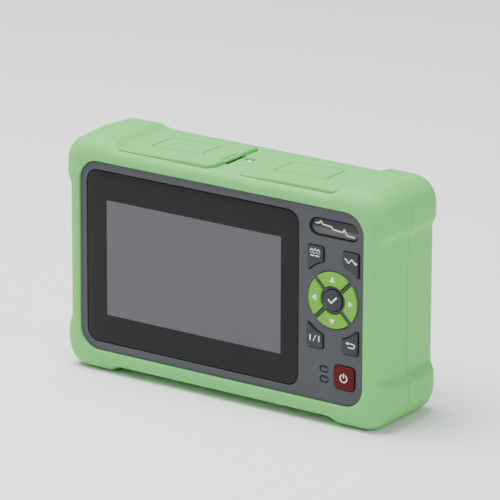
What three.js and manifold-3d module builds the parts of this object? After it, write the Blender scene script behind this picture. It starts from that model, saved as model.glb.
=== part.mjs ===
// Handheld optical fibre tester in a rubber boot.
// Millimetres. +X to the user's right, +Y from the screen to the back, +Z up.
// Origin: on the surface the tester stands on, under the middle of the boot.
import * as THREE from "three";
import { mergeVertices } from "three/addons/utils/BufferGeometryUtils.js";
import Module from "manifold-3d";

const wasm = await Module();
wasm.setup();

// ---------------------------------------------------------------- driving dimensions
// Rubber boot
const BOOT_WIDTH = 175.8;
const BOOT_HEIGHT = 109.8;
const BOOT_DEPTH = 48;
const BOOT_CORNER_R = 13;
const BUMPER_RISE = 3.4; // how far the corner bumpers stand out from the sides
const BUMPER_LONG = 24.9; // reach of a bumper along the top and the bottom
const BUMPER_SHORT = 18.4; // reach of a bumper down the left and right sides
const BUMPER_RAMP = 6;
const EDGE_R = 4.5; // round of the front and back edges between the bumpers
const BUMPER_EDGE_R = 8;
const SIDE_LEAN = 1.2; // the sides fall away from the parting line at mid depth
const SIDE_WALL = 4.0;
const TOP_WALL = 3.2;
const BOTTOM_WALL = 3.6;
const LIP_REACH = 3.6; // how far the front lip reaches over the case
const LIP_THICK = 2.4;
const BACK_LIP_REACH = 6;
const BACK_LIP_THICK = 2.6;
const BRIDGE_SCREW_X = 0.6;
const BRIDGE_SCREW_DEPTH = 23.5;
const BRIDGE_SCREW_SINK = 1.5;
const BRIDGE_SCREW_END = 6; // how far it reaches into the case
const SMALL_SCREW_R = 1.25;
const SMALL_SCREW_HEAD_R = 2.1;
const SMALL_SCREW_HEAD = 1.3;

// Case inside the boot
const CASE_CORNER_R = 12.5;
const CASE_WALL = 2.5;
const OPENING_R = 10; // corners of the boot's front opening
const BACK_OPENING_R = 9;
const FACE_SINK = 1.0; // the case's face lies this far behind the boot's front
const FACE_THICK = 3.0;
const BACK_SINK = 1.2;
const BACK_THICK = 2.5;
const SPLIT_DEPTH = 22; // depth of the joint between the two case halves
const GASKET_THICK = 0.8;
const GASKET_WIDTH = 1.8;
const FIT_GAP = 0.3; // between pieces that touch
const CASE_SCREW_INSET_X = 12; // from the case's side to the screw's axis
const CASE_SCREW_INSET_Z = 11.6;
const CASE_SCREW_HEAD_R = 2.6;
const CASE_SCREW_HEAD = 1.8;
const CASE_SCREW_SINK = 1.2;
const CASE_SCREW_START = 13; // depth of the screws' tips
const BLOCK_SIZE = 15; // corner blocks that take the case screws
const BLOCK_START = 12.2;
const POST_R = 1.8; // posts that carry the boards

// Display: glass, and a 4.3 inch panel behind it
const GLASS_WIDTH = 115.3;
const GLASS_HEIGHT = 80.5;
const GLASS_CORNER_R = 5.5;
const GLASS_THICK = 1.4;
const GLASS_SINK = 0.2;
const GLASS_MARGIN = 3.85; // from the boot's lip to the glass, on the left
const VIEW_WIDTH = 95.04;
const VIEW_HEIGHT = 53.86;
const VIEW_SHIFT = 0.7; // the picture sits this far right of the glass's middle
const VIEW_MARGIN = 1; // the case's opening behind the glass, past the picture
const LCD_WIDTH = 105.5;
const LCD_HEIGHT = 67.2;
const LCD_THICK = 3.0;

// Keys, placed from the middle of the arrow ring
const RING_FROM_RIGHT = 16.0; // from the boot's lip to the middle of the ring
const RING_RISE = 3.2; // above the middle of the case
const KEY_PROUD = 0.9;
const KEY_TRAVEL = 0.7;
const KEY_GAP = 0.35;
const KEY_FLANGE = 0.5;
const KEY_FLANGE_THICK = 0.8;
const KEY_PLUNGER_R = 1.5;
const PLUNGER_DROP = 0.8; // a corner key's plunger stands this far towards the ring
const KEY_EDGE_R = 0.4;
const KEY_CORNER_R = 0.9;
const RING_OUTER_R = 12.85;
const RING_INNER_R = 6.45;
const RING_GAP = 2.0;
const OK_R = 4.9;
const CORNER_KEY_IN = 5.1;
const CORNER_KEY_WIDTH = 8.2;
const CORNER_KEY_TOP = 23.2;
const CORNER_KEY_ARC_R = 17.6; // the corner keys' cut side, round the ring's centre
const POWER_RIGHT = 6.3; // from the middle of the ring
const POWER_DROP = 34.6;
const POWER_SIZE = 10.7;
const POWER_CORNER_R = 2.0;
const MAT_THICK = 1.0;
const MAT_WIDTH = 30.4;
const MAT_ABOVE = 24; // reach of the mat and its board above and below the ring's middle
const MAT_BELOW = 41;
const BOARD_THICK = 1.6;

// Indicator windows and nameplate
const LED_LEFT = 4.6; // from the middle of the ring
const LED_DROPS = [32.5, 37.2];
const LED_WIDTH = 4.2;
const LED_HEIGHT = 2.6;
const PLATE_RISE = 32.1;
const PLATE_WIDTH = 26.2;
const PLATE_HEIGHT = 8.5;
const PLATE_SINK = 1.4;
const PLATE_THICK = 0.7;

// Port flaps on the top, each hinged at its left end
const FLAP_THICK = 2.4;
const FLAP_PROUD = 0.5;
const FLAP_FRONT = 3.2; // depth of the flaps' front and back edges
const FLAP_BACK = 40.5;
const FLAP_CORNER_R = 4.5;
const FLAP_GAP = 0.4;
const FLAP_PLUG_THICK = 0.9;
const FLAP_PLUG_GAP = 1.0;
const HINGE_BEAD_R = 0.9;
const HINGE_LENGTH = 30;
const SCOOP_LENGTH = 15;
const SCOOP_MID_DEPTH = 19.8;
const SCOOP_CUT = 2.0;
const SLIT_WIDTH = 1.4;
const BRIDGE_WIDTH = 16; // between the left flap's free end and the right flap's hinge
const BRIDGE_X = 2.5;
const FLAP_LENGTH = 50.5;

// Port wells under the flaps
const WELL_LENGTH = 38;
const WELL_WIDTH = 19;
const WELL_DEPTH = 10;
const WELL_WALL = 1.2;
const WELL_MID_DEPTH = 22.5;
const PORT_RISE = 6; // sockets and adapters stand this far above the well's underside
const PORT_DROP = 8;
const PORT_BOARD_LENGTH = 36;
const PORT_BOARD_WIDTH = 20;

// Pieces reached from the back
const BAY_DROP = 17; // middle of the battery bay below the middle of the case
const PACK_WIDTH = 74;
const PACK_HEIGHT = 38.5;
const PACK_THICK = 19.5;
const BAY_WALL = 1.5;
const CONTACT_THICK = 2;
const CONTACT_WIDTH = 12;
const CONTACT_HEIGHT = 10;
const DOOR_MARGIN_X = 11; // how far the door reaches past the pack
const DOOR_MARGIN_Z = 3.75;
const DOOR_THICK = 2.0;
const DOOR_CORNER_R = 3;
const DOOR_SCREW_INSET = 5;
const DOOR_SCREW_R = 1.0;
const SPEAKER_X = -48;
const SPEAKER_RISE = 25;
const SPEAKER_R = 10;
const SPEAKER_THICK = 4.2;
const SLOT_COUNT = 5;
const SLOT_PITCH = 3.2;
const SLOT_LENGTH = 13;
const SLOT_WIDTH = 1.4;
const LABEL_X = 22;
const LABEL_RISE = 25;
const LABEL_WIDTH = 70;
const LABEL_HEIGHT = 22;
const LABEL_THICK = 0.4;
const LABEL_CORNER_R = 1.2;

// Boards and modules inside
const MAIN_BOARD_WIDTH = 92;
const MAIN_BOARD_HEIGHT = 82;
const MAIN_BOARD_DEPTH = 10.3;
const MAIN_BOARD_POST_INSET = 4;
const MAIN_BOARD_SHIFT = 4; // to the left of the panel's middle
const MAIN_BOARD_RISE = 0.5;
const OPTICS_WIDTH = 72;
const OPTICS_HEIGHT = 22;
const OPTICS_THICK = 22;
const OPTICS_CLEARANCE = 3.75; // from the port board

// ---------------------------------------------------------------- worked out from those
const FRONT_Y = -BOOT_DEPTH / 2;
const depth = (d) => FRONT_Y + d; // a depth behind the boot's front, as Y
const MID_Z = BOOT_HEIGHT / 2;
const TOP_Z = BOOT_HEIGHT - BUMPER_RISE; // top of the boot between the bumpers
const CASE_WIDTH = BOOT_WIDTH - 2 * (BUMPER_RISE + SIDE_WALL);
const CASE_HEIGHT = BOOT_HEIGHT - 2 * BUMPER_RISE - TOP_WALL - BOTTOM_WALL;
const CASE_CENTRE_Z = BUMPER_RISE + BOTTOM_WALL + CASE_HEIGHT / 2;
const CASE_TOP_Z = CASE_CENTRE_Z + CASE_HEIGHT / 2;
const FACE = FACE_SINK; // depths of the case, front to back
const FACE_INSIDE = FACE_SINK + FACE_THICK;
const LEDGE = LIP_THICK + FIT_GAP;
const BACK_LEDGE = BOOT_DEPTH - BACK_LIP_THICK - FIT_GAP;
const BACK_FACE = BOOT_DEPTH - BACK_SINK;
const BACK_INSIDE = BACK_LEDGE - BACK_THICK;
const OPENING_WIDTH = CASE_WIDTH - 2 * LIP_REACH;
const OPENING_HEIGHT = CASE_HEIGHT - 2 * LIP_REACH;
const BACK_OPENING_WIDTH = CASE_WIDTH - 2 * BACK_LIP_REACH;
const BACK_OPENING_HEIGHT = CASE_HEIGHT - 2 * BACK_LIP_REACH;
const GLASS_X = -OPENING_WIDTH / 2 + GLASS_MARGIN + GLASS_WIDTH / 2;
const VIEW_X = GLASS_X + VIEW_SHIFT;
const GLASS_DEPTH = FACE_SINK + GLASS_SINK;
const LCD_DEPTH = FACE_INSIDE + FIT_GAP;
const KEYS_X = OPENING_WIDTH / 2 - RING_FROM_RIGHT;
const KEYS_Z = CASE_CENTRE_Z + RING_RISE;
const POWER_X = KEYS_X + POWER_RIGHT;
const POWER_Z = KEYS_Z - POWER_DROP;
const PLATE_Z = KEYS_Z + PLATE_RISE;
const KEY_FLANGE_DEPTH = FACE_INSIDE + FIT_GAP;
const MAT_DEPTH = KEY_FLANGE_DEPTH + KEY_FLANGE_THICK + KEY_TRAVEL + FIT_GAP;
const KEY_BOARD_DEPTH = MAT_DEPTH + MAT_THICK + FIT_GAP;
const PLUNGER_END = KEY_BOARD_DEPTH - KEY_TRAVEL - FIT_GAP;
const FLAP_TOP_Z = TOP_Z + FLAP_PROUD;
const FLAP_BOTTOM_Z = FLAP_TOP_Z - FLAP_THICK;
const HINGE_Z = FLAP_TOP_Z - HINGE_BEAD_R;
const BRIDGE_LEFT = BRIDGE_X - BRIDGE_WIDTH / 2;
const BRIDGE_RIGHT = BRIDGE_X + BRIDGE_WIDTH / 2;
const FLAPS = [
  { side: "left", hingeX: BRIDGE_LEFT - FLAP_LENGTH, endX: BRIDGE_LEFT, lift: 1.4, scoop: true },
  { side: "right", hingeX: BRIDGE_RIGHT, endX: BRIDGE_RIGHT + FLAP_LENGTH, lift: 0.6, scoop: false },
];
const WELL_FLOOR_Z = CASE_TOP_Z - WELL_DEPTH;
const PORT_TOP_Z = WELL_FLOOR_Z + PORT_RISE;
const PORT_FOOT_Z = WELL_FLOOR_Z - PORT_DROP;
const BAY_Z = CASE_CENTRE_Z - BAY_DROP;
const DOOR_WIDTH = PACK_WIDTH + 2 * DOOR_MARGIN_X;
const DOOR_HEIGHT = PACK_HEIGHT + 2 * DOOR_MARGIN_Z;
const DOOR_SEAT = BACK_FACE - DOOR_THICK - FIT_GAP;
const PACK_END = DOOR_SEAT;
const PACK_START = PACK_END - PACK_THICK;

// ---------------------------------------------------------------- shape helpers
const smoothstep = (a, b, x) => {
  const t = Math.min(1, Math.max(0, (x - a) / (b - a)));
  return t * t * (3 - 2 * t);
};
const lerp = (a, b, t) => a + (b - a) * t;

// A three.js geometry as a manifold-3d solid.
function solid(geometry) {
  const bare = geometry.index ? geometry.toNonIndexed() : geometry.clone();
  bare.deleteAttribute("normal");
  bare.deleteAttribute("uv");
  const merged = mergeVertices(bare, 1e-4);
  return new wasm.Manifold(
    new wasm.Mesh({
      numProp: 3,
      vertProperties: merged.attributes.position.array,
      triVerts: new Uint32Array(merged.index.array),
    }),
  );
}

// A manifold-3d solid as a three.js geometry.
function geometryOf(made) {
  const mesh = made.getMesh();
  const geometry = new THREE.BufferGeometry();
  geometry.setAttribute("position", new THREE.BufferAttribute(mesh.vertProperties, 3));
  geometry.setIndex(new THREE.BufferAttribute(mesh.triVerts, 1));
  geometry.computeVertexNormals();
  return geometry;
}

const join = (...solids) => solids.reduce((a, b) => a.add(b));
const cut = (body, ...tools) => tools.reduce((a, b) => a.subtract(b), body);

// Outline points [u, v] of a rounded rectangle round (cu, cv), anticlockwise.
function roundedRect(width, height, r, cu = 0, cv = 0, steps = 6) {
  const points = [];
  const corners = [
    [1, 1, 0],
    [-1, 1, 1],
    [-1, -1, 2],
    [1, -1, 3],
  ];
  for (const [su, sv, quarter] of corners) {
    for (let i = 0; i <= steps; i++) {
      const a = ((quarter + i / steps) * Math.PI) / 2;
      const u = cu + su * (width / 2 - r) + r * Math.cos(a);
      const v = cv + sv * (height / 2 - r) + r * Math.sin(a);
      points.push([u, v]);
    }
  }
  return points;
}

function circle(r, cu = 0, cv = 0, steps = 24) {
  const at = (i) => (i / steps) * 2 * Math.PI;
  return Array.from({ length: steps }, (_, i) => [cu + r * Math.cos(at(i)), cv + r * Math.sin(at(i))]);
}

// Rounds the corners of an outline. Each point is [u, v, r]; r is left out where the side just bends.
function softened(points, steps = 3) {
  const out = [];
  points.forEach(([u, v, r = 0], i) => {
    if (!r) {
      out.push([u, v]);
      return;
    }
    const corner = new THREE.Vector2(u, v);
    const sides = [points[(i + points.length - 1) % points.length], points[(i + 1) % points.length]].map(
      ([pu, pv]) => new THREE.Vector2(pu, pv).sub(corner),
    );
    const room = 0.45 * Math.min(sides[0].length(), sides[1].length());
    const [before, after] = sides.map((side) => side.clone().normalize());
    const half = Math.acos(THREE.MathUtils.clamp(before.dot(after), -1, 1)) / 2;
    const run = Math.min(r / Math.tan(half), room); // from the corner to where the arc starts
    const radius = run * Math.tan(half);
    const middle = before.clone().add(after).setLength(radius / Math.sin(half)).add(corner);
    const start = before.clone().multiplyScalar(run).add(corner).sub(middle);
    const end = after.clone().multiplyScalar(run).add(corner).sub(middle);
    for (let k = 0; k <= steps; k++) {
      const spoke = start.clone().lerp(end, k / steps).setLength(radius).add(middle);
      out.push([spoke.x, spoke.y]);
    }
  });
  return out;
}

// Moves an anticlockwise outline's sides outwards by d.
function grown(points, d) {
  return points.map(([u, v], i) => {
    const [pu, pv] = points[(i + points.length - 1) % points.length];
    const [nu, nv] = points[(i + 1) % points.length];
    const a = [v - pv, pu - u];
    const b = [nv - v, u - nu];
    const la = Math.hypot(...a);
    const lb = Math.hypot(...b);
    const n = [a[0] / la + b[0] / lb, a[1] / la + b[1] / lb];
    const scale = (2 * d) / Math.max(n[0] ** 2 + n[1] ** 2, 0.5);
    return [u + n[0] * scale, v + n[1] * scale];
  });
}

function shapeOf(points) {
  return new THREE.Shape(points.map(([u, v]) => new THREE.Vector2(u, v)));
}

// An outline in X and Z, extruded between two depths behind the boot's front.
function slabY(points, from, to) {
  const geometry = new THREE.ExtrudeGeometry(shapeOf(points), {
    depth: to - from,
    bevelEnabled: false,
  });
  return solid(geometry.rotateX(Math.PI / 2).translate(0, depth(to), 0));
}

// A closed skin over rings of [x, y, z] points, as many in each, anticlockwise seen from the front.
function loft(rings) {
  const n = rings[0].length;
  const index = [];
  for (let k = 0; k + 1 < rings.length; k++) {
    for (let i = 0; i < n; i++) {
      const a = k * n + i;
      const b = k * n + ((i + 1) % n);
      index.push(a, a + n, b, b, a + n, b + n);
    }
  }
  const last = (rings.length - 1) * n;
  const face = (ring) => ring.map(([x, , z]) => new THREE.Vector2(x, z));
  for (const [a, b, c] of THREE.ShapeUtils.triangulateShape(face(rings[0]), [])) index.push(a, b, c);
  for (const [a, b, c] of THREE.ShapeUtils.triangulateShape(face(rings.at(-1)), []))
    index.push(last + a, last + c, last + b);
  const geometry = new THREE.BufferGeometry();
  geometry.setAttribute("position", new THREE.Float32BufferAttribute(rings.flat(2), 3));
  geometry.setIndex(index);
  return solid(geometry);
}

// An extruded outline with its front edge rounded by r.
function pillowY(points, from, to, r) {
  const ringAt = (shrink, d) => grown(points, -shrink).map(([x, z]) => [x, depth(d), z]);
  const round = [0, 30, 60, 90].map((degrees) => {
    const a = THREE.MathUtils.degToRad(degrees);
    return ringAt(r * (1 - Math.sin(a)), from + r * (1 - Math.cos(a)));
  });
  return loft([...round, ringAt(0, to)]);
}

// An outline in X and Y, extruded between two heights.
function slabZ(points, from, to) {
  const geometry = new THREE.ExtrudeGeometry(shapeOf(points), {
    depth: to - from,
    bevelEnabled: false,
  });
  return solid(geometry.translate(0, 0, from));
}

function box(x0, x1, y0, y1, z0, z1) {
  const geometry = new THREE.BoxGeometry(x1 - x0, y1 - y0, z1 - z0);
  return solid(geometry.translate((x0 + x1) / 2, (y0 + y1) / 2, (z0 + z1) / 2));
}

// A round profile [radius, height] turned about a Z axis at (x, y).
function turnedZ(profile, x, y, steps = 20) {
  const points = profile.map(([r, h]) => new THREE.Vector2(r, h));
  const geometry = new THREE.LatheGeometry(points, steps);
  return solid(geometry.rotateX(Math.PI / 2).translate(x, y, 0));
}

// A round profile [radius, depth] turned about a Y axis at (x, z). The profile runs front to back.
function turnedY(profile, x, z, steps = 20) {
  const points = profile.map(([r, d]) => new THREE.Vector2(r, depth(d)));
  const geometry = new THREE.LatheGeometry(points, steps);
  return solid(geometry.translate(x, 0, z));
}

const material = (colour, roughness, metalness = 0) =>
  new THREE.MeshStandardMaterial({ color: colour, roughness, metalness });
const FINISH = {
  boot: material(0x93c08f, 0.6),
  case: material(0x63656b, 0.5),
  glass: material(0x3a393c, 0.15),
  darkKey: material(0x4a4d50, 0.5),
  greenKey: material(0x86b556, 0.4),
  redKey: material(0x6c2a30, 0.4),
  window: material(0x55606c, 0.3),
  plate: material(0x3c4042, 0.3),
  silicone: material(0x8e9092, 0.7),
  board: material(0x1e5a38, 0.5),
  metal: material(0xb9bbbd, 0.3, 1),
  black: material(0x1c1c1e, 0.5),
  battery: material(0x2f5f95, 0.5),
};

const tester = new THREE.Group();
function add(name, made, finish, parent = tester) {
  const mesh = new THREE.Mesh(geometryOf(made), finish);
  mesh.name = name;
  parent.add(mesh);
  return mesh;
}

// ---------------------------------------------------------------- rubber boot
// Samples round the boot's outline: place, outward normal, how much it belongs to a bumper (0 to 1),
// and how much it belongs to the flat bottom (0 to 1).
function bootOutline() {
  const sides = [
    { normal: [1, 0], along: [0, 1], half: BOOT_WIDTH / 2, reach: BOOT_HEIGHT / 2 },
    { normal: [0, 1], along: [-1, 0], half: BOOT_HEIGHT / 2, reach: BOOT_WIDTH / 2 },
    { normal: [-1, 0], along: [0, -1], half: BOOT_WIDTH / 2, reach: BOOT_HEIGHT / 2 },
    { normal: [0, -1], along: [1, 0], half: BOOT_HEIGHT / 2, reach: BOOT_WIDTH / 2 },
  ];
  const samples = [];
  const rampSteps = [0, 0.25, 0.5, 0.75, 1];
  const cornerSteps = 7;
  sides.forEach(({ normal, along, half, reach }, quarter) => {
    const long = quarter % 2 === 1;
    const end = reach - (long ? BUMPER_LONG : BUMPER_SHORT);
    const start = end - BUMPER_RAMP;
    const straight = reach - BOOT_CORNER_R;
    const ramp = rampSteps.map((t) => lerp(start, end, t));
    const stations = [-straight, ...ramp.map((a) => -a).reverse(), ...ramp, straight];
    for (const a of stations) {
      const bumper = smoothstep(start, end, Math.abs(a));
      const out = half - BUMPER_RISE * (1 - bumper);
      const x = normal[0] * out + along[0] * a;
      const z = normal[1] * out + along[1] * a;
      samples.push({ x, z, nx: normal[0], nz: normal[1], bumper });
    }
    const centre = [
      normal[0] * (half - BOOT_CORNER_R) + along[0] * straight,
      normal[1] * (half - BOOT_CORNER_R) + along[1] * straight,
    ];
    for (let i = 1; i < cornerSteps; i++) {
      const turn = ((quarter + i / cornerSteps) * Math.PI) / 2;
      const nx = Math.cos(turn);
      const nz = Math.sin(turn);
      const x = centre[0] + BOOT_CORNER_R * nx;
      const z = centre[1] + BOOT_CORNER_R * nz;
      samples.push({ x, z, nx, nz, bumper: 1 });
    }
  });
  return samples.map((s) => ({ ...s, flat: smoothstep(0.3, 0.9, -s.nz) }));
}

// The outside of the boot: rings of the outline from front to back, rounded at both ends.
function bootOutside() {
  const outline = bootOutline();
  const roundSteps = 4;
  const rings = [];
  const ring = (place) =>
    rings.push(
      outline.map((s) => {
        const r = lerp(EDGE_R, BUMPER_EDGE_R, s.bumper);
        const { inward, back } = place(r);
        const lean = (SIDE_LEAN * (1 - s.flat) * Math.abs(back - BOOT_DEPTH / 2)) / (BOOT_DEPTH / 2);
        const off = inward + lean;
        return [s.x - s.nx * off, depth(back), MID_Z + s.z - s.nz * off];
      }),
    );
  for (let i = 0; i <= roundSteps; i++) {
    const a = ((i / roundSteps) * Math.PI) / 2;
    ring((r) => ({ inward: r * (1 - Math.sin(a)), back: r * (1 - Math.cos(a)) }));
  }
  ring(() => ({ inward: 0, back: BOOT_DEPTH / 2 }));
  for (let i = roundSteps; i >= 0; i--) {
    const a = ((i / roundSteps) * Math.PI) / 2;
    ring((r) => ({ inward: r * (1 - Math.sin(a)), back: BOOT_DEPTH - r * (1 - Math.cos(a)) }));
  }
  return loft(rings);
}

// Plan outline of a flap: square at the hinge, round at the free end.
function flapPlan(flap, gap = 0) {
  const [y0, y1] = [depth(FLAP_FRONT) - gap, depth(FLAP_BACK) + gap];
  const x0 = flap.hingeX - (gap ? HINGE_BEAD_R + gap : 0);
  const x1 = flap.endX + gap;
  return softened(
    [
      [x0, y0],
      [x1, y0, FLAP_CORNER_R],
      [x1, y1, FLAP_CORNER_R],
      [x0, y1],
    ],
    4,
  );
}

const wellMidX = (flap) => (flap.hingeX + flap.endX) / 2;
const MID_DEPTH_Y = depth(WELL_MID_DEPTH);

function wellPlan(flap, grow = 0) {
  const length = WELL_LENGTH + 2 * grow;
  const width = WELL_WIDTH + 2 * grow;
  return roundedRect(length, width, 1.5 + grow, wellMidX(flap), MID_DEPTH_Y, 3);
}

const caseRect = (w, h, r) => roundedRect(w, h, r, 0, CASE_CENTRE_Z);
const BRIDGE_SEAT_Z = TOP_Z - BRIDGE_SCREW_SINK - SMALL_SCREW_HEAD; // where the bridge screw's head bears

function boot() {
  const cavity = slabY(
    caseRect(CASE_WIDTH + 2 * FIT_GAP, CASE_HEIGHT + 2 * FIT_GAP, CASE_CORNER_R + FIT_GAP),
    LIP_THICK,
    BOOT_DEPTH - BACK_LIP_THICK,
  );
  const front = slabY(caseRect(OPENING_WIDTH, OPENING_HEIGHT, OPENING_R), -1, LIP_THICK + 1);
  const back = slabY(
    caseRect(BACK_OPENING_WIDTH, BACK_OPENING_HEIGHT, BACK_OPENING_R),
    BOOT_DEPTH - BACK_LIP_THICK - 1,
    BOOT_DEPTH + 1,
  );
  let made = cut(bootOutside(), cavity, front, back);
  for (const flap of FLAPS) {
    const pocket = slabZ(flapPlan(flap, FLAP_GAP), FLAP_BOTTOM_Z - FIT_GAP, BOOT_HEIGHT + 5);
    const window = slabZ(wellPlan(flap, FLAP_GAP), CASE_TOP_Z - 2, FLAP_TOP_Z);
    made = cut(made, pocket, window);
    if (flap.scoop) {
      const [y0, y1] = [-1, 1].map((side) => depth(SCOOP_MID_DEPTH) + (side * SCOOP_LENGTH) / 2);
      const slitEnd = flap.endX + FLAP_GAP + SLIT_WIDTH;
      made = cut(made, box(flap.endX, slitEnd, y0, y1, FLAP_BOTTOM_Z - FIT_GAP, BOOT_HEIGHT));
    }
  }
  const headHole = SMALL_SCREW_HEAD_R + FIT_GAP;
  const shankHole = SMALL_SCREW_R + FIT_GAP;
  const screwHole = turnedZ(
    [
      [0, CASE_TOP_Z - 2],
      [shankHole, CASE_TOP_Z - 2],
      [shankHole, BRIDGE_SEAT_Z],
      [headHole, BRIDGE_SEAT_Z],
      [headHole, BOOT_HEIGHT],
      [0, BOOT_HEIGHT],
    ],
    BRIDGE_SCREW_X,
    depth(BRIDGE_SCREW_DEPTH),
  );
  return cut(made, screwHole);
}
add("rubber_boot", boot(), FINISH.boot);

// A small pan head screw's half section, from its tip to the top of its head: [radius, distance].
function screwProfile(tip, seat, shankR, headR, head) {
  const top = seat + head;
  return [
    [0, tip],
    [shankR, tip],
    [shankR, seat],
    [headR, seat],
    [headR, top - head / 3],
    [headR - head / 3, top],
    [0, top],
  ];
}

// The screw that holds the boot's top bridge to the case.
const bridgeScrew = screwProfile(
  CASE_TOP_Z - BRIDGE_SCREW_END,
  BRIDGE_SEAT_Z + FIT_GAP,
  SMALL_SCREW_R,
  SMALL_SCREW_HEAD_R,
  SMALL_SCREW_HEAD,
);
add("bridge_screw", turnedZ(bridgeScrew, BRIDGE_SCREW_X, depth(BRIDGE_SCREW_DEPTH)), FINISH.metal);

// ---------------------------------------------------------------- port flaps
function flapBody(flap) {
  const plate = slabZ(flapPlan(flap), FLAP_BOTTOM_Z, FLAP_TOP_Z);
  const plugBottom = FLAP_BOTTOM_Z - FLAP_PLUG_THICK;
  const plug = slabZ(wellPlan(flap, -FLAP_PLUG_GAP), plugBottom, (FLAP_BOTTOM_Z + FLAP_TOP_Z) / 2);
  const bead = new THREE.CylinderGeometry(HINGE_BEAD_R, HINGE_BEAD_R, HINGE_LENGTH, 16);
  bead.translate(flap.hingeX, MID_DEPTH_Y, HINGE_Z);
  const made = join(plate, plug, solid(bead));
  if (!flap.scoop) return made;
  const scoop = [
    [flap.endX + 1, FLAP_TOP_Z + 1],
    [flap.endX - SCOOP_CUT, FLAP_TOP_Z + 1],
    [flap.endX - SCOOP_CUT, FLAP_TOP_Z],
    [flap.endX - SCOOP_CUT / 4, FLAP_BOTTOM_Z + FLAP_THICK / 4],
    [flap.endX + 1, FLAP_BOTTOM_Z + FLAP_THICK / 6],
  ];
  return cut(made, slabY(scoop, SCOOP_MID_DEPTH - SCOOP_LENGTH / 2, SCOOP_MID_DEPTH + SCOOP_LENGTH / 2));
}

for (const flap of FLAPS) {
  const turned = new THREE.Group(); // the flap's hinge line, with the flap a little lifted at rest
  turned.position.set(flap.hingeX, 0, HINGE_Z);
  turned.rotation.y = THREE.MathUtils.degToRad(-flap.lift);
  tester.add(turned);
  const body = flapBody(flap).translate([-flap.hingeX, 0, -HINGE_Z]);
  add(`port_flap_${flap.side}`, body, FINISH.boot, turned);
}

// ---------------------------------------------------------------- port wells and connectors
const [leftFlap, rightFlap] = FLAPS;

// An open tray sunk in the top of the case, with holes in its floor for the connectors.
function well(flap, holes) {
  const outside = slabZ(wellPlan(flap, -FIT_GAP), WELL_FLOOR_Z, CASE_TOP_Z - FIT_GAP);
  const inside = slabZ(wellPlan(flap, -FIT_GAP - WELL_WALL), WELL_FLOOR_Z + WELL_WALL, CASE_TOP_Z + 1);
  return cut(outside, inside, ...holes);
}

const portOutline = (x, w, d, r = 0.4) => roundedRect(w, d, r, x, MID_DEPTH_Y, 2);

// Left: power, USB A and micro USB sockets, standing up through the well's floor.
const SOCKETS = [
  { name: "power_socket", at: -12, width: 9, length: 9, mouth: "round", finish: FINISH.black },
  { name: "usb_host_socket", at: 0.5, width: 13.2, length: 5.7, mouth: "slot", finish: FINISH.metal },
  { name: "usb_micro_socket", at: 12.5, width: 7.6, length: 2.8, mouth: "slot", finish: FINISH.metal },
].map((socket) => ({ ...socket, x: wellMidX(leftFlap) + socket.at }));
const PLUG_HOLE_R = 3.2;
const PLUG_PIN_R = 1.0;
const PLUG_HOLE_DEEP = 8;
const SHELL_WALL = 0.4;
const TONGUE_SHARE = 0.28; // of the mouth's width across

function socketBody({ x, width, length, mouth }) {
  const outside = slabZ(portOutline(x, width, length), PORT_FOOT_Z, PORT_TOP_Z);
  const holeFloor = PORT_TOP_Z - PLUG_HOLE_DEEP;
  if (mouth === "round") {
    const hole = [
      [PLUG_PIN_R, holeFloor],
      [PLUG_HOLE_R, holeFloor],
      [PLUG_HOLE_R, PORT_TOP_Z + 1],
      [PLUG_PIN_R, PORT_TOP_Z + 1],
      [PLUG_PIN_R, holeFloor],
    ];
    return cut(outside, turnedZ(hole, x, MID_DEPTH_Y));
  }
  const hole = portOutline(x, width - 2 * SHELL_WALL, length - 2 * SHELL_WALL);
  const tongue = portOutline(x, width - 6 * SHELL_WALL, length * TONGUE_SHARE, 0.1);
  return join(
    cut(outside, slabZ(hole, holeFloor, PORT_TOP_Z + 1)),
    slabZ(tongue, holeFloor - 1, PORT_TOP_Z - SHELL_WALL),
  );
}

const socketCuts = SOCKETS.map(({ x, width, length }) =>
  slabZ(portOutline(x, width + 2 * FIT_GAP, length + 2 * FIT_GAP), WELL_FLOOR_Z - 1, CASE_TOP_Z),
);
add("socket_well", well(leftFlap, socketCuts), FINISH.case);
for (const socket of SOCKETS) add(socket.name, socketBody(socket), socket.finish);
const portBoard = slabZ(
  roundedRect(PORT_BOARD_LENGTH, PORT_BOARD_WIDTH, 1, wellMidX(leftFlap), MID_DEPTH_Y, 2),
  PORT_FOOT_Z - FIT_GAP - BOARD_THICK,
  PORT_FOOT_Z - FIT_GAP,
);
add("port_board", portBoard, FINISH.board);

// Right: two threaded fibre adapters and a visible light port.
const ADAPTERS = [
  { name: "fibre_adapter_test", at: -12, r: 4.0 },
  { name: "fibre_adapter_meter", at: 1, r: 4.0 },
  { name: "fault_light_adapter", at: 12.5, r: 3.0 },
].map((adapter) => ({ ...adapter, x: wellMidX(rightFlap) + adapter.at }));
const ADAPTER_NUT = 1.4;
const ADAPTER_NUT_THICK = 1.2;
const ADAPTER_WALL = 1.2;
const FERRULE_BORE_R = 1.3;
const FERRULE_WALL = 0.5;
const FERRULE_SINK = 1;
const FERRULE_LENGTH = 4;
const FERRULE_CLEARANCE = 0.2; // least room round the ferrule sleeve

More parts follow.
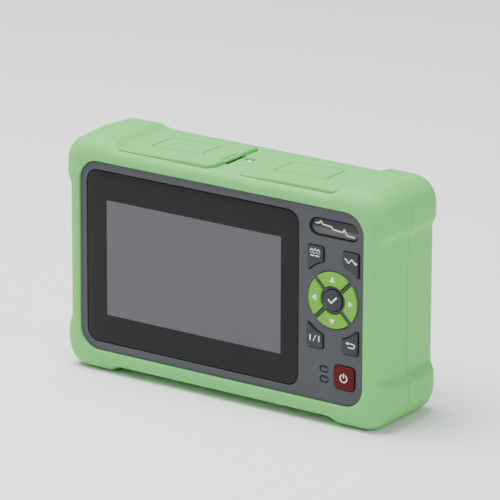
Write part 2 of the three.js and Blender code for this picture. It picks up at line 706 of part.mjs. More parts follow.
function adapterBody({ x, r }) {
  const nut = WELL_FLOOR_Z + WELL_WALL + FIT_GAP;
  const sleeve = FERRULE_BORE_R + FERRULE_WALL;
  const bore = Math.max(r - ADAPTER_WALL, sleeve + FERRULE_CLEARANCE);
  const profile = [
    [FERRULE_BORE_R, PORT_FOOT_Z],
    [r, PORT_FOOT_Z],
    [r, nut],
    [r + ADAPTER_NUT, nut],
    [r + ADAPTER_NUT, nut + ADAPTER_NUT_THICK],
    [r, nut + ADAPTER_NUT_THICK],
    [r, PORT_TOP_Z],
    [bore, PORT_TOP_Z],
    [bore, PORT_TOP_Z - FERRULE_LENGTH],
    [sleeve, PORT_TOP_Z - FERRULE_LENGTH],
    [sleeve, PORT_TOP_Z - FERRULE_SINK],
    [FERRULE_BORE_R, PORT_TOP_Z - FERRULE_SINK],
    [FERRULE_BORE_R, PORT_FOOT_Z],
  ];
  return turnedZ(profile, x, MID_DEPTH_Y);
}

const adapterCuts = ADAPTERS.map(({ x, r }) =>
  slabZ(circle(r + FIT_GAP, x, MID_DEPTH_Y), WELL_FLOOR_Z - 1, WELL_FLOOR_Z + WELL_WALL + 1),
);
add("fibre_well", well(rightFlap, adapterCuts), FINISH.case);
for (const adapter of ADAPTERS) add(adapter.name, adapterBody(adapter), FINISH.metal);

// ---------------------------------------------------------------- keys
// Corner key outline about the ring's centre, for the quarter given by its signs.
function cornerKey(sx, sz) {
  const out = CORNER_KEY_IN + CORNER_KEY_WIDTH;
  const arcPoint = (u) => [u, Math.sqrt(CORNER_KEY_ARC_R ** 2 - u ** 2)];
  const between = [0.25, 0.5, 0.75].map((t) => arcPoint(lerp(CORNER_KEY_IN, out, t)));
  const points = [
    [out, CORNER_KEY_TOP, KEY_CORNER_R],
    [CORNER_KEY_IN, CORNER_KEY_TOP, KEY_CORNER_R],
    [...arcPoint(CORNER_KEY_IN), KEY_CORNER_R],
    ...between,
    [...arcPoint(out), KEY_CORNER_R],
  ].map(([u, v, radius]) => [KEYS_X + sx * u, KEYS_Z + sz * v, radius]);
  if (sx * sz < 0) points.reverse();
  return softened(points);
}

// Arrow key: a quarter of the ring, with straight sides that leave an even gap to its neighbours.
function arrowKey(quarter) {
  const sweep = (radius) => Math.PI / 4 - Math.asin(RING_GAP / 2 / radius);
  const arc = (radius, from, to, steps) =>
    Array.from({ length: steps + 1 }, (_, i) => {
      const a = lerp(from, to, i / steps) + (quarter * Math.PI) / 2;
      const corner = i === 0 || i === steps ? 0.85 * KEY_CORNER_R : 0;
      return [KEYS_X + radius * Math.cos(a), KEYS_Z + radius * Math.sin(a), corner];
    });
  const outer = sweep(RING_OUTER_R);
  const inner = sweep(RING_INNER_R);
  return softened([...arc(RING_OUTER_R, -outer, outer, 10), ...arc(RING_INNER_R, inner, -inner, 6)], 2);
}

// Each key's outline, and where its plunger stands from the middle of the ring.
const CORNER_AT = [
  CORNER_KEY_IN + CORNER_KEY_WIDTH / 2,
  (CORNER_KEY_TOP + CORNER_KEY_ARC_R) / 2 - PLUNGER_DROP,
];
const ARROW_AT = (RING_OUTER_R + RING_INNER_R) / 2;
const powerOutline = roundedRect(POWER_SIZE, POWER_SIZE, POWER_CORNER_R, POWER_X, POWER_Z, 4);
const KEYS = [
  { name: "key_real_avg", outline: cornerKey(-1, 1), at: [-CORNER_AT[0], CORNER_AT[1]] },
  { name: "key_auto", outline: cornerKey(1, 1), at: CORNER_AT },
  { name: "key_a_b", outline: cornerKey(-1, -1), at: [-CORNER_AT[0], -CORNER_AT[1]] },
  { name: "key_escape", outline: cornerKey(1, -1), at: [CORNER_AT[0], -CORNER_AT[1]] },
  { name: "key_right", outline: arrowKey(0), at: [ARROW_AT, 0], finish: FINISH.greenKey },
  { name: "key_up", outline: arrowKey(1), at: [0, ARROW_AT], finish: FINISH.greenKey },
  { name: "key_left", outline: arrowKey(2), at: [-ARROW_AT, 0], finish: FINISH.greenKey },
  { name: "key_down", outline: arrowKey(3), at: [0, -ARROW_AT], finish: FINISH.greenKey },
  { name: "key_ok", outline: circle(OK_R, KEYS_X, KEYS_Z, 28), at: [0, 0] },
  { name: "key_power", outline: powerOutline, at: [POWER_RIGHT, -POWER_DROP], finish: FINISH.redKey },
].map((key) => ({ finish: FINISH.darkKey, ...key, x: KEYS_X + key.at[0], z: KEYS_Z + key.at[1] }));

for (const key of KEYS) {
  const flangeBack = KEY_FLANGE_DEPTH + KEY_FLANGE_THICK;
  const cap = pillowY(key.outline, FACE - KEY_PROUD, flangeBack - KEY_FLANGE_THICK / 2, KEY_EDGE_R);
  const flange = slabY(grown(key.outline, KEY_FLANGE), KEY_FLANGE_DEPTH, flangeBack);
  const plunger = slabY(circle(KEY_PLUNGER_R, key.x, key.z, 16), KEY_FLANGE_DEPTH, PLUNGER_END);
  add(key.name, join(cap, flange, plunger), key.finish);
}

// Silicone mat behind the keys, and the board with the key contacts. Posts on the case carry the
// board and pass through the mat, clear of the keys and the indicator windows.
const MAT_Z = KEYS_Z + (MAT_ABOVE - MAT_BELOW) / 2;
const keypadPlan = roundedRect(MAT_WIDTH, MAT_ABOVE + MAT_BELOW, 2, KEYS_X, MAT_Z, 2);
const KEYPAD_POSTS = [
  [KEYS_X, KEYS_Z + CORNER_KEY_TOP - POST_R],
  [KEYS_X, KEYS_Z - CORNER_KEY_TOP],
  [KEYS_X - MAT_WIDTH / 2 + 2 * POST_R, POWER_Z],
];
const matHole = (r, x, z) => slabY(circle(r, x, z, 16), MAT_DEPTH - 1, MAT_DEPTH + MAT_THICK + 1);
const mat = cut(
  slabY(keypadPlan, MAT_DEPTH, MAT_DEPTH + MAT_THICK),
  ...KEYS.map(({ x, z }) => matHole(KEY_PLUNGER_R + 2 * FIT_GAP, x, z)),
  ...KEYPAD_POSTS.map(([x, z]) => matHole(POST_R + FIT_GAP, x, z)),
);
add("keypad_mat", mat, FINISH.silicone);
const keypadBoard = slabY(keypadPlan, KEY_BOARD_DEPTH, KEY_BOARD_DEPTH + BOARD_THICK);
add("keypad_board", keypadBoard, FINISH.board);

// ---------------------------------------------------------------- case
const CASE_SCREWS = [
  ["upper_right", 1, 1],
  ["upper_left", -1, 1],
  ["lower_left", -1, -1],
  ["lower_right", 1, -1],
].map(([name, sx, sz]) => ({
  name,
  sx,
  sz,
  x: sx * (CASE_WIDTH / 2 - CASE_SCREW_INSET_X),
  z: CASE_CENTRE_Z + sz * (CASE_HEIGHT / 2 - CASE_SCREW_INSET_Z),
}));
const casePlan = (shrink = 0) =>
  caseRect(CASE_WIDTH - 2 * shrink, CASE_HEIGHT - 2 * shrink, CASE_CORNER_R - shrink);
const DOOR_SCREW_XS = [DOOR_WIDTH / 2 - DOOR_SCREW_INSET, -DOOR_WIDTH / 2 + DOOR_SCREW_INSET];

// Blocks in the four corners that take the case screws.
function cornerBlocks(from, to) {
  const core = slabY(casePlan(CASE_WALL / 5), from, to);
  return CASE_SCREWS.map(({ sx, sz }) => {
    const xs = [CASE_WIDTH / 2 - BLOCK_SIZE, CASE_WIDTH / 2].map((x) => sx * x).sort((a, b) => a - b);
    const zs = [CASE_HEIGHT / 2 - BLOCK_SIZE, CASE_HEIGHT / 2]
      .map((z) => CASE_CENTRE_Z + sz * z)
      .sort((a, b) => a - b);
    return core.intersect(box(...xs, depth(from), depth(to), ...zs));
  });
}

const wellCuts = FLAPS.map((flap) => slabZ(wellPlan(flap), WELL_FLOOR_Z - FIT_GAP, CASE_TOP_Z + 1));
const bridgeScrewHole = slabZ(
  circle(SMALL_SCREW_R + FIT_GAP, BRIDGE_SCREW_X, depth(BRIDGE_SCREW_DEPTH), 16),
  CASE_TOP_Z - BRIDGE_SCREW_END - 1,
  CASE_TOP_Z + 1,
);
const screwHole = (r, x, z, from, to) => slabY(circle(r + FIT_GAP, x, z, 16), from, to);
const hole = (w, h, r, x, z, from, to) =>
  slabY(roundedRect(w + 2 * FIT_GAP, h + 2 * FIT_GAP, r + FIT_GAP, x, z, 4), from, to);

// Main board, carried by four posts on the front case clear of the panel.
const MAIN_BOARD_X = VIEW_X - MAIN_BOARD_SHIFT;
const MAIN_BOARD_Z = CASE_CENTRE_Z + MAIN_BOARD_RISE;
const MAIN_POSTS = [-1, 1].flatMap((sx) =>
  [-1, 1].map((sz) => [
    MAIN_BOARD_X + sx * (MAIN_BOARD_WIDTH / 2 - MAIN_BOARD_POST_INSET),
    MAIN_BOARD_Z + sz * (MAIN_BOARD_HEIGHT / 2 - POST_R),
  ]),
);

function frontCase() {
  const end = SPLIT_DEPTH - GASKET_THICK / 2 - FIT_GAP;
  const inside = FACE_INSIDE + 1;
  const viewWidth = VIEW_WIDTH + 2 * VIEW_MARGIN;
  const viewHeight = VIEW_HEIGHT + 2 * VIEW_MARGIN;
  const plateau = slabY(
    caseRect(OPENING_WIDTH - 2 * FIT_GAP, OPENING_HEIGHT - 2 * FIT_GAP, OPENING_R - FIT_GAP),
    FACE,
    LEDGE + 1,
  );
  const shell = cut(slabY(casePlan(), LEDGE, end), slabY(casePlan(CASE_WALL), FACE_INSIDE, end + 1));
  const post = ([x, z], to) => slabY(circle(POST_R, x, z, 16), FACE_INSIDE - 1, to - FIT_GAP);
  const posts = [
    ...KEYPAD_POSTS.map((at) => post(at, KEY_BOARD_DEPTH)),
    ...MAIN_POSTS.map((at) => post(at, MAIN_BOARD_DEPTH)),
  ];
  return cut(
    join(plateau, shell, ...posts, ...cornerBlocks(BLOCK_START, end)),
    hole(
      GLASS_WIDTH,
      GLASS_HEIGHT,
      GLASS_CORNER_R,
      GLASS_X,
      CASE_CENTRE_Z,
      FACE - 1,
      GLASS_DEPTH + GLASS_THICK + FIT_GAP,
    ),
    hole(viewWidth, viewHeight, VIEW_MARGIN, VIEW_X, CASE_CENTRE_Z, FACE, inside),
    hole(
      PLATE_WIDTH - 2 * FIT_GAP,
      PLATE_HEIGHT - 2 * FIT_GAP,
      PLATE_HEIGHT / 2 - FIT_GAP - 0.01,
      KEYS_X,
      PLATE_Z,
      FACE - 1,
      FACE + PLATE_SINK + PLATE_THICK,
    ),
    ...LED_DROPS.map((drop) =>
      hole(LED_WIDTH, LED_HEIGHT, LED_HEIGHT / 2 - 0.01, KEYS_X - LED_LEFT, KEYS_Z - drop, FACE - 1, inside),
    ),
    ...KEYS.map((key) => slabY(grown(key.outline, KEY_GAP), FACE - 1, inside)),
    ...CASE_SCREWS.map(({ x, z }) => screwHole(SMALL_SCREW_R, x, z, CASE_SCREW_START - FIT_GAP, end + 1)),
    ...wellCuts,
    bridgeScrewHole,
  );
}
add("front_case", frontCase(), FINISH.case);

// The back half holds the battery in a bay closed by a screwed door.
const BAY_LEFT = -PACK_WIDTH / 2 - FIT_GAP;
const BAY_RIGHT = PACK_WIDTH / 2 + CONTACT_THICK + 2 * FIT_GAP;
const bayPlan = (wall = 0) =>
  roundedRect(
    BAY_RIGHT - BAY_LEFT + 2 * wall,
    PACK_HEIGHT + 2 * FIT_GAP + 2 * wall,
    1 + wall,
    (BAY_LEFT + BAY_RIGHT) / 2,
    BAY_Z,
    2,
  );

function backCase() {
  const start = SPLIT_DEPTH + GASKET_THICK / 2 + FIT_GAP;
  const shell = cut(
    slabY(casePlan(), start, BACK_LEDGE),
    slabY(casePlan(CASE_WALL), start - 1, BACK_INSIDE),
  );
  const plateau = slabY(
    caseRect(
      BACK_OPENING_WIDTH - 2 * FIT_GAP,
      BACK_OPENING_HEIGHT - 2 * FIT_GAP,
      BACK_OPENING_R - FIT_GAP,
    ),
    BACK_LEDGE - 1,
    BACK_FACE,
  );
  const bayFloor = PACK_START - FIT_GAP;
  const bayTub = slabY(bayPlan(BAY_WALL), bayFloor - BAY_WALL, BACK_INSIDE + 1);
  const slots = Array.from({ length: SLOT_COUNT }, (_, i) => {
    const z = CASE_CENTRE_Z + SPEAKER_RISE + (i - (SLOT_COUNT - 1) / 2) * SLOT_PITCH;
    const outline = roundedRect(SLOT_LENGTH, SLOT_WIDTH, 0.45 * SLOT_WIDTH, SPEAKER_X, z, 2);
    return slabY(outline, BACK_INSIDE - 1, BACK_FACE + 1);
  });
  const headSeat = BACK_FACE - CASE_SCREW_SINK - CASE_SCREW_HEAD - FIT_GAP;
  const labelSeat = BACK_FACE - LABEL_THICK - FIT_GAP;
  const labelZ = CASE_CENTRE_Z + LABEL_RISE;
  return cut(
    join(shell, plateau, bayTub, ...cornerBlocks(start, BACK_LEDGE)),
    hole(DOOR_WIDTH, DOOR_HEIGHT, DOOR_CORNER_R, 0, BAY_Z, DOOR_SEAT, BACK_FACE + 1),
    slabY(bayPlan(), bayFloor, BACK_FACE),
    hole(LABEL_WIDTH, LABEL_HEIGHT, LABEL_CORNER_R, LABEL_X, labelZ, labelSeat, BACK_FACE + 1),
    ...slots,
    ...CASE_SCREWS.flatMap(({ x, z }) => [
      screwHole(SMALL_SCREW_R, x, z, start - 1, BACK_FACE),
      screwHole(CASE_SCREW_HEAD_R, x, z, headSeat, BACK_FACE + 1),
    ]),
    ...DOOR_SCREW_XS.map((x) => screwHole(DOOR_SCREW_R, x, BAY_Z, BACK_INSIDE - 1, BACK_FACE)),
    ...wellCuts,
    bridgeScrewHole,
  );
}
add("back_case", backCase(), FINISH.case);

// Rubber seal in the joint between the case halves, open where the port wells cross it.
const gasketStart = SPLIT_DEPTH - GASKET_THICK / 2;
const gasketEnd = gasketStart + GASKET_THICK;
const gasket = cut(
  slabY(casePlan(FIT_GAP), gasketStart, gasketEnd),
  slabY(casePlan(FIT_GAP + GASKET_WIDTH), gasketStart - 1, gasketEnd + 1),
  box(
    wellMidX(leftFlap) - WELL_LENGTH / 2 - 1,
    wellMidX(rightFlap) + WELL_LENGTH / 2 + 1,
    depth(gasketStart) - 1,
    depth(gasketEnd) + 1,
    CASE_TOP_Z - CASE_CORNER_R / 2,
    CASE_TOP_Z + 1,
  ),
);
add("case_gasket", gasket, FINISH.silicone);

for (const { name, x, z } of CASE_SCREWS) {
  const seat = BACK_FACE - CASE_SCREW_SINK - CASE_SCREW_HEAD;
  const profile = screwProfile(CASE_SCREW_START, seat, SMALL_SCREW_R, CASE_SCREW_HEAD_R, CASE_SCREW_HEAD);
  add(`case_screw_${name}`, turnedY(profile, x, z), FINISH.metal);
}

// ---------------------------------------------------------------- battery, door and label
const pack = slabY(roundedRect(PACK_WIDTH, PACK_HEIGHT, 2, 0, BAY_Z, 3), PACK_START, PACK_END);
add("battery_pack", pack, FINISH.battery);
const contactX = PACK_WIDTH / 2 + FIT_GAP + CONTACT_THICK / 2;
const contacts = slabY(
  roundedRect(CONTACT_THICK, CONTACT_HEIGHT, 0.3, contactX, BAY_Z, 2),
  PACK_START,
  PACK_START + CONTACT_WIDTH,
);
add("battery_contacts", contacts, FINISH.metal);

const doorHeadSeat = BACK_FACE - DOOR_THICK * 0.75;
const door = cut(
  slabY(roundedRect(DOOR_WIDTH, DOOR_HEIGHT, DOOR_CORNER_R, 0, BAY_Z, 3), BACK_FACE - DOOR_THICK, BACK_FACE),
  ...DOOR_SCREW_XS.flatMap((x) => [
    screwHole(DOOR_SCREW_R, x, BAY_Z, DOOR_SEAT - 1, BACK_FACE + 1),
    screwHole(SMALL_SCREW_HEAD_R, x, BAY_Z, doorHeadSeat, BACK_FACE + 1),
  ]),
);
add("battery_door", door, FINISH.case);
["left", "right"].forEach((name, i) => {
  const seat = doorHeadSeat + FIT_GAP;
  const head = BACK_FACE - FIT_GAP - seat;
  const profile = screwProfile(BACK_INSIDE, seat, DOOR_SCREW_R, SMALL_SCREW_HEAD_R, head);
  add(`door_screw_${name}`, turnedY(profile, DOOR_SCREW_XS[i], BAY_Z), FINISH.metal);
});

const label = slabY(
  roundedRect(LABEL_WIDTH, LABEL_HEIGHT, LABEL_CORNER_R, LABEL_X, CASE_CENTRE_Z + LABEL_RISE, 2),
  BACK_FACE - LABEL_THICK,
  BACK_FACE,
);
add("rating_label", label, FINISH.silicone);

// ---------------------------------------------------------------- display, nameplate and indicators
const glass = slabY(
  roundedRect(GLASS_WIDTH, GLASS_HEIGHT, GLASS_CORNER_R, GLASS_X, CASE_CENTRE_Z),
  GLASS_DEPTH,
  GLASS_DEPTH + GLASS_THICK,
);
add("touch_glass", glass, FINISH.glass);
const lcd = slabY(
  roundedRect(LCD_WIDTH, LCD_HEIGHT, 0.8, VIEW_X, CASE_CENTRE_Z, 2),
  LCD_DEPTH,
  LCD_DEPTH + LCD_THICK,
);
add("lcd_panel", lcd, FINISH.metal);
const plateInset = 2 * FIT_GAP;
const plate = slabY(
  roundedRect(
    PLATE_WIDTH - plateInset,
    PLATE_HEIGHT - plateInset,
    (PLATE_HEIGHT - plateInset) / 2 - 0.01,
    KEYS_X,
    PLATE_Z,
  ),
  FACE + PLATE_SINK - FIT_GAP,
  FACE + PLATE_SINK + PLATE_THICK - FIT_GAP,
);
add("name_plate", plate, FINISH.plate);
["charge", "power"].forEach((name, i) => {
  const z = KEYS_Z - LED_DROPS[i];
  const outline = roundedRect(LED_WIDTH, LED_HEIGHT, LED_HEIGHT / 2 - 0.01, KEYS_X - LED_LEFT, z, 4);
  add(`light_pipe_${name}`, slabY(outline, FACE + FIT_GAP, MAT_DEPTH - FIT_GAP), FINISH.window);
});

// ---------------------------------------------------------------- boards and modules inside
const mainBoard = slabY(
  roundedRect(MAIN_BOARD_WIDTH, MAIN_BOARD_HEIGHT, 2, MAIN_BOARD_X, MAIN_BOARD_Z, 2),
  MAIN_BOARD_DEPTH,
  MAIN_BOARD_DEPTH + BOARD_THICK,
);
add("main_board", mainBoard, FINISH.board);
const opticsStart = MAIN_BOARD_DEPTH + BOARD_THICK + FIT_GAP;
const opticsX = wellMidX(leftFlap) + PORT_BOARD_LENGTH / 2 + OPTICS_CLEARANCE + OPTICS_WIDTH / 2;
const opticsZ = PORT_FOOT_Z - FIT_GAP - OPTICS_HEIGHT / 2;
const optics = slabY(
  roundedRect(OPTICS_WIDTH, OPTICS_HEIGHT, 1.5, opticsX, opticsZ, 2),
  opticsStart,
  opticsStart + OPTICS_THICK,
);
add("optics_module", optics, FINISH.metal);
const speakerEnd = BACK_INSIDE - FIT_GAP;
const speaker = slabY(
  circle(SPEAKER_R, SPEAKER_X, CASE_CENTRE_Z + SPEAKER_RISE, 28),
  speakerEnd - SPEAKER_THICK,
  speakerEnd,
);
add("speaker", speaker, FINISH.black);

export default tester;
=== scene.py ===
# Handheld optical fibre tester in its rubber boot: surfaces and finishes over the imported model.
# Lengths are written in millimetres and put into the meshes in metres.
import math

import bmesh
import bpy
import numpy as np
from mathutils import Matrix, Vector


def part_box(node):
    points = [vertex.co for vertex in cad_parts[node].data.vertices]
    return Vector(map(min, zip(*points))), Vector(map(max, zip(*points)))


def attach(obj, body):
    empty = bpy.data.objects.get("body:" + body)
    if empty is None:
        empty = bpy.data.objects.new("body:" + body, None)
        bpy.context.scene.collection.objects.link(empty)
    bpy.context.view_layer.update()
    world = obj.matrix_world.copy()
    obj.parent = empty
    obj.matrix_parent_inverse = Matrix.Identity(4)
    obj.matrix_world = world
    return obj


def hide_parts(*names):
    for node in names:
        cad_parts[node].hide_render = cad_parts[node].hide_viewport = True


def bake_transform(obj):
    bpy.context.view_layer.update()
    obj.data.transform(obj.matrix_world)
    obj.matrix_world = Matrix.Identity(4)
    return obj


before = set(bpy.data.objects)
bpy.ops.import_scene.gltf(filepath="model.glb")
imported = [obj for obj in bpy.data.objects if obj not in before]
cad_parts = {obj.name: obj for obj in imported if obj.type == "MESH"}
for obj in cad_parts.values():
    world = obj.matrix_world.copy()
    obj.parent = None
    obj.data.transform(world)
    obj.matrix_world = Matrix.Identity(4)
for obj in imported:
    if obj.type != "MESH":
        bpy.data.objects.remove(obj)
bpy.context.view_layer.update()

# ------------------------------------------------------------------ camera, light and floor
# A long lens a good two metres off, a little above the tester and to its right, as for a
# catalogue. Big soft lamps above, at the left front and at the right, on a pale floor.
AZIMUTH, ELEVATION, ROLL = math.radians(35.09), math.radians(17.37), math.radians(0.21)
DISTANCE = 2143.09
LENS = 347.29
SCREEN_CENTRE = np.array([-14.7, -23.0, 55.2])
AIM_RIGHT, AIM_UP = 25.54, 11.65  # how far the view's middle lies from the screen's


def place_camera():
    """back = (sin a cos e, -cos a cos e, sin e); right and up complete it and turn by the roll.
    The eye is at the screen's centre + right * AIM_RIGHT + up * AIM_UP + back * DISTANCE."""
    back = np.array(
        [
            math.sin(AZIMUTH) * math.cos(ELEVATION),
            -math.cos(AZIMUTH) * math.cos(ELEVATION),
            math.sin(ELEVATION),
        ]
    )
    level = np.cross(-back, [0, 0, 1])
    level /= np.linalg.norm(level)
    rise = np.cross(level, -back)
    right = math.cos(ROLL) * level + math.sin(ROLL) * rise
    up = -math.sin(ROLL) * level + math.cos(ROLL) * rise
    eye = (SCREEN_CENTRE + right * AIM_RIGHT + up * AIM_UP + back * DISTANCE) / 1000
    camera = bpy.data.objects.new("camera", bpy.data.cameras.new("camera"))
    bpy.context.scene.collection.objects.link(camera)
    turned = np.eye(4)
    turned[:3, 0], turned[:3, 1], turned[:3, 2], turned[:3, 3] = right, up, back, eye
    camera.matrix_world = Matrix(turned.tolist())
    camera.data.lens = LENS
    camera.data.sensor_width = 36
    camera.data.clip_end = 20
    bpy.context.scene.camera = camera


def lamp(name, place, size, watts):
    """A square soft lamp at a place in metres, facing the tester."""
    data = bpy.data.lights.new(name, "AREA")
    data.shape = "SQUARE"
    data.size = size
    data.energy = watts
    made = bpy.data.objects.new(name, data)
    bpy.context.scene.collection.objects.link(made)
    towards = np.array([0, 0, 0.05]) - np.array(place)
    towards /= np.linalg.norm(towards)
    side = np.cross(towards, [0, 0.02, 1])
    side /= np.linalg.norm(side)
    turned = np.eye(4)
    turned[:3, 0], turned[:3, 1], turned[:3, 2], turned[:3, 3] = (
        side,
        np.cross(side, towards),
        -towards,
        place,
    )
    made.matrix_world = Matrix(turned.tolist())


place_camera()
lamp("lamp_above", (-0.25, -0.15, 1.2), 0.9, 34)
lamp("lamp_left", (-1.1, -0.9, 0.55), 0.9, 4)
lamp("lamp_right", (1.2, -0.1, 0.6), 0.9, 8)

world = bpy.data.worlds.new("studio")
world.use_nodes = True
world.node_tree.nodes["Background"].inputs["Color"].default_value = (1, 1, 1, 1)
world.node_tree.nodes["Background"].inputs["Strength"].default_value = 0.38
bpy.context.scene.world = world

floor_mesh = bpy.data.meshes.new("floor")
floor_mesh.from_pydata([(-6, -6, 0), (6, -6, 0), (6, 6, 0), (-6, 6, 0)], [], [(0, 1, 2, 3)])
floor = bpy.data.objects.new("floor", floor_mesh)
bpy.context.scene.collection.objects.link(floor)
floor_paint = bpy.data.materials.new("floor_paper")
floor_paint.use_nodes = True
paper = floor_paint.node_tree.nodes["Principled BSDF"].inputs
paper["Base Color"].default_value = (0.9, 0.9, 0.9, 1)
paper["Roughness"].default_value = 0.9
floor_mesh.materials.append(floor_paint)

# ------------------------------------------------------------------ rubber boot
# One moulded piece of matt green rubber, stretched over the case. It has four bumpers, two
# pockets on top for the port flaps, and lips that hold it at the front and the back.
BOOT_WIDTH, BOOT_HEIGHT, BOOT_DEPTH = 175.8, 109.8, 48.0
MID_Z = BOOT_HEIGHT / 2
FRONT_Y = -BOOT_DEPTH / 2
CORNER_R = 13.0
BUMPER_RISE, BUMPER_LONG, BUMPER_SHORT, RAMP = 3.4, 24.9, 18.4, 6.0
EDGE_R, BUMPER_EDGE_R = 4.5, 8.0
LEAN = 1.2
TOP_LEVEL = 0.65  # share of the lean that is lost on the top between the bumpers
CASE_MID_Z = 55.1
PITCH = 0.75  # spacing of the skin's points on the top
FRONT_LIP, BACK_LIP = 2.4, 2.6
OPENING = (153.8, 89.0, 10.0)  # front opening: width, height, corner radius
BACK_OPENING = (149.0, 84.2, 9.0)
CAVITY = (161.6, 96.8, 12.8)
LIP_ROUND = 0.6
INNER_KEPT = 58.0  # out to here the inner outlines' points lie straight below the outside's
GROOVE = 0.36
POCKET_FLOOR_Z = 104.2
FLAP_FRONT, FLAP_BACK, FLAP_CORNER_R, FLAP_GAP = 3.2, 40.5, 4.5, 0.4
LEFT_HINGE, LEFT_END, RIGHT_HINGE, RIGHT_END = -56.0, -5.5, 10.5, 61.0
HINGE_ROOM = 1.3
SLIT = (-8.0, -3.7, 12.3, 27.3)  # x and depth of the finger slit at the left flap's free end
SCREW_X, SCREW_D, SCREW_HOLE_R, SCREW_SEAT_Z = 0.6, 23.5, 2.4, 103.6
WELL_DEPTHS = (12.75, 32.25)
OPEN_FLOORS = [  # x and depth of the openings in the pocket floors: two over the wells, one slit
    (-50.25, -11.25, *WELL_DEPTHS),
    (16.5, 55.5, *WELL_DEPTHS),
    (-10.5, -3.75, 12.75, 27.0),
]
SEAM_DEPTH = 21.0
SEAM_SIDE, SEAM_TOP = 3.0, -4.6  # how far it shifts between the bumpers and on their tops
SEAM_REACH = 9.0  # rows nearer than this follow the shift
SEAM_TURN, SEAM_CORNER = (62.2, 63.9), 74.9  # x where it swings forward, and is back again
SEAM_FADE = (62.6, 64.0)  # x where the groove sets in on the top
SEAM_SQUEEZE = 0.75  # share by which the rows beside it close up
FACING = 0.99  # a side whose normal's component is over this faces that way
STEP_LIMIT = 62.8  # the pockets' steps all lie nearer the middle than this


def smooth(a, b, x):
    """3t^2 - 2t^3, where t runs from 0 at a to 1 at b."""
    t = np.clip((x - a) / (b - a), 0, 1)
    return t * t * (3 - 2 * t)


def boot_columns():
    """The boot's outline, anticlockwise from the front: straight sides whose offset rises by
    BUMPER_RISE over a ramp near each end, and quarter circles between them. Each column also
    has its point on the front opening, the back opening and the cavity."""
    half_w, half_h = BOOT_WIDTH / 2, BOOT_HEIGHT / 2
    ramp = np.array([0, 0.15, 0.3, 0.5, 0.7, 0.85, 1.0]) * RAMP
    parts = []
    for quarter in range(4):
        normal = np.round([math.cos(quarter * math.pi / 2), math.sin(quarter * math.pi / 2)])
        along = np.array([-normal[1], normal[0]])
        lengthwise = quarter % 2 == 1
        half, reach = (half_h, half_w) if lengthwise else (half_w, half_h)
        straight = reach - CORNER_R
        end = reach - (BUMPER_LONG if lengthwise else BUMPER_SHORT)
        if quarter == 1:
            steps = np.arange(-99, 100) * PITCH
            a = np.concatenate([[-straight], steps, [straight]])
        else:
            inner = np.linspace(0, end - RAMP, 26 if lengthwise else 18)
            outer = np.linspace(end, straight, 8 if lengthwise else 7)
            right = np.concatenate([inner, (end - RAMP + ramp)[1:-1], outer])
            a = np.concatenate([-right[::-1], right[1:]])
        bumper = smooth(end - RAMP, end, np.abs(a))
        out = half - BUMPER_RISE * (1 - bumper)
        place = normal * out[:, None] + along * a[:, None]
        keep = INNER_KEPT if lengthwise else 0.0

        def inside(w, h, r):
            inner_straight = (w if lengthwise else h) / 2 - r
            past = np.maximum(np.abs(a) - keep, 0) * (inner_straight - keep) / (straight - keep)
            b = np.sign(a) * (np.minimum(np.abs(a), keep) + past)
            return normal * ((h if lengthwise else w) / 2) + along * b[:, None]

        rows = [inside(*s) for s in (OPENING, BACK_OPENING, CAVITY)]
        parts.append((place, np.tile(normal, (len(a), 1)), bumper, rows))
        turn = (quarter + np.arange(1, 16) / 16) * math.pi / 2
        spoke = np.stack([np.cos(turn), np.sin(turn)], 1)
        corner = normal + along

        def rounded(w, h, r):
            return corner * np.array([w / 2 - r, h / 2 - r]) + r * spoke

        rows = [rounded(*s) for s in (OPENING, BACK_OPENING, CAVITY)]
        outer = rounded(BOOT_WIDTH, BOOT_HEIGHT, CORNER_R)
        parts.append((outer, spoke, np.ones(len(turn)), rows))
    place, normal, bumper = (np.concatenate([p[k] for p in parts]) for k in range(3))
    inner = [np.concatenate([p[3][k] for p in parts]) + [0, CASE_MID_Z] for k in range(3)]
    return place + [0, MID_Z], normal, bumper, inner


def edge_fall(d, r):
    """r - sqrt(r^2 - (r - d)^2) within r of an edge: how far a rounded edge falls away."""
    back = np.clip(r - d, 0, r)
    return r - np.sqrt(r * r - back * back)


def boot_offset(d, bumper, nz):
    """Inward offset of the boot's outside at depth d: the rounding of the nearer edge, plus a
    lean of LEAN over half the depth. The lean fades out on the flat bottom, and mostly on the
    top between the bumpers."""
    r = EDGE_R + (BUMPER_EDGE_R - EDGE_R) * bumper
    level = smooth(0.3, 0.9, -nz) + TOP_LEVEL * smooth(0.3, 0.9, nz) * (1 - bumper)
    lean = LEAN * (1 - level) * np.abs(d - BOOT_DEPTH / 2) / (BOOT_DEPTH / 2)
    return lean + edge_fall(d, r) + edge_fall(BOOT_DEPTH - d, r)


def boot_top(x, d):
    """Height of the boot's top at x and depth d, before the pockets are sunk in it."""
    end = BOOT_WIDTH / 2 - BUMPER_LONG
    bumper = smooth(end - RAMP, end, np.abs(x))
    return BOOT_HEIGHT - BUMPER_RISE * (1 - bumper) - boot_offset(d, bumper, np.ones_like(x))


def box_distance(x, d, x0, x1, d0, d1, r):
    """Signed distance from a rectangle with corners of radius r, negative inside."""
    qx = np.abs(x - (x0 + x1) / 2) - (x1 - x0) / 2 + r
    qd = np.abs(d - (d0 + d1) / 2) - (d1 - d0) / 2 + r
    outside = np.hypot(np.maximum(qx, 0), np.maximum(qd, 0))
    return outside + np.minimum(np.maximum(qx, qd), 0) - r


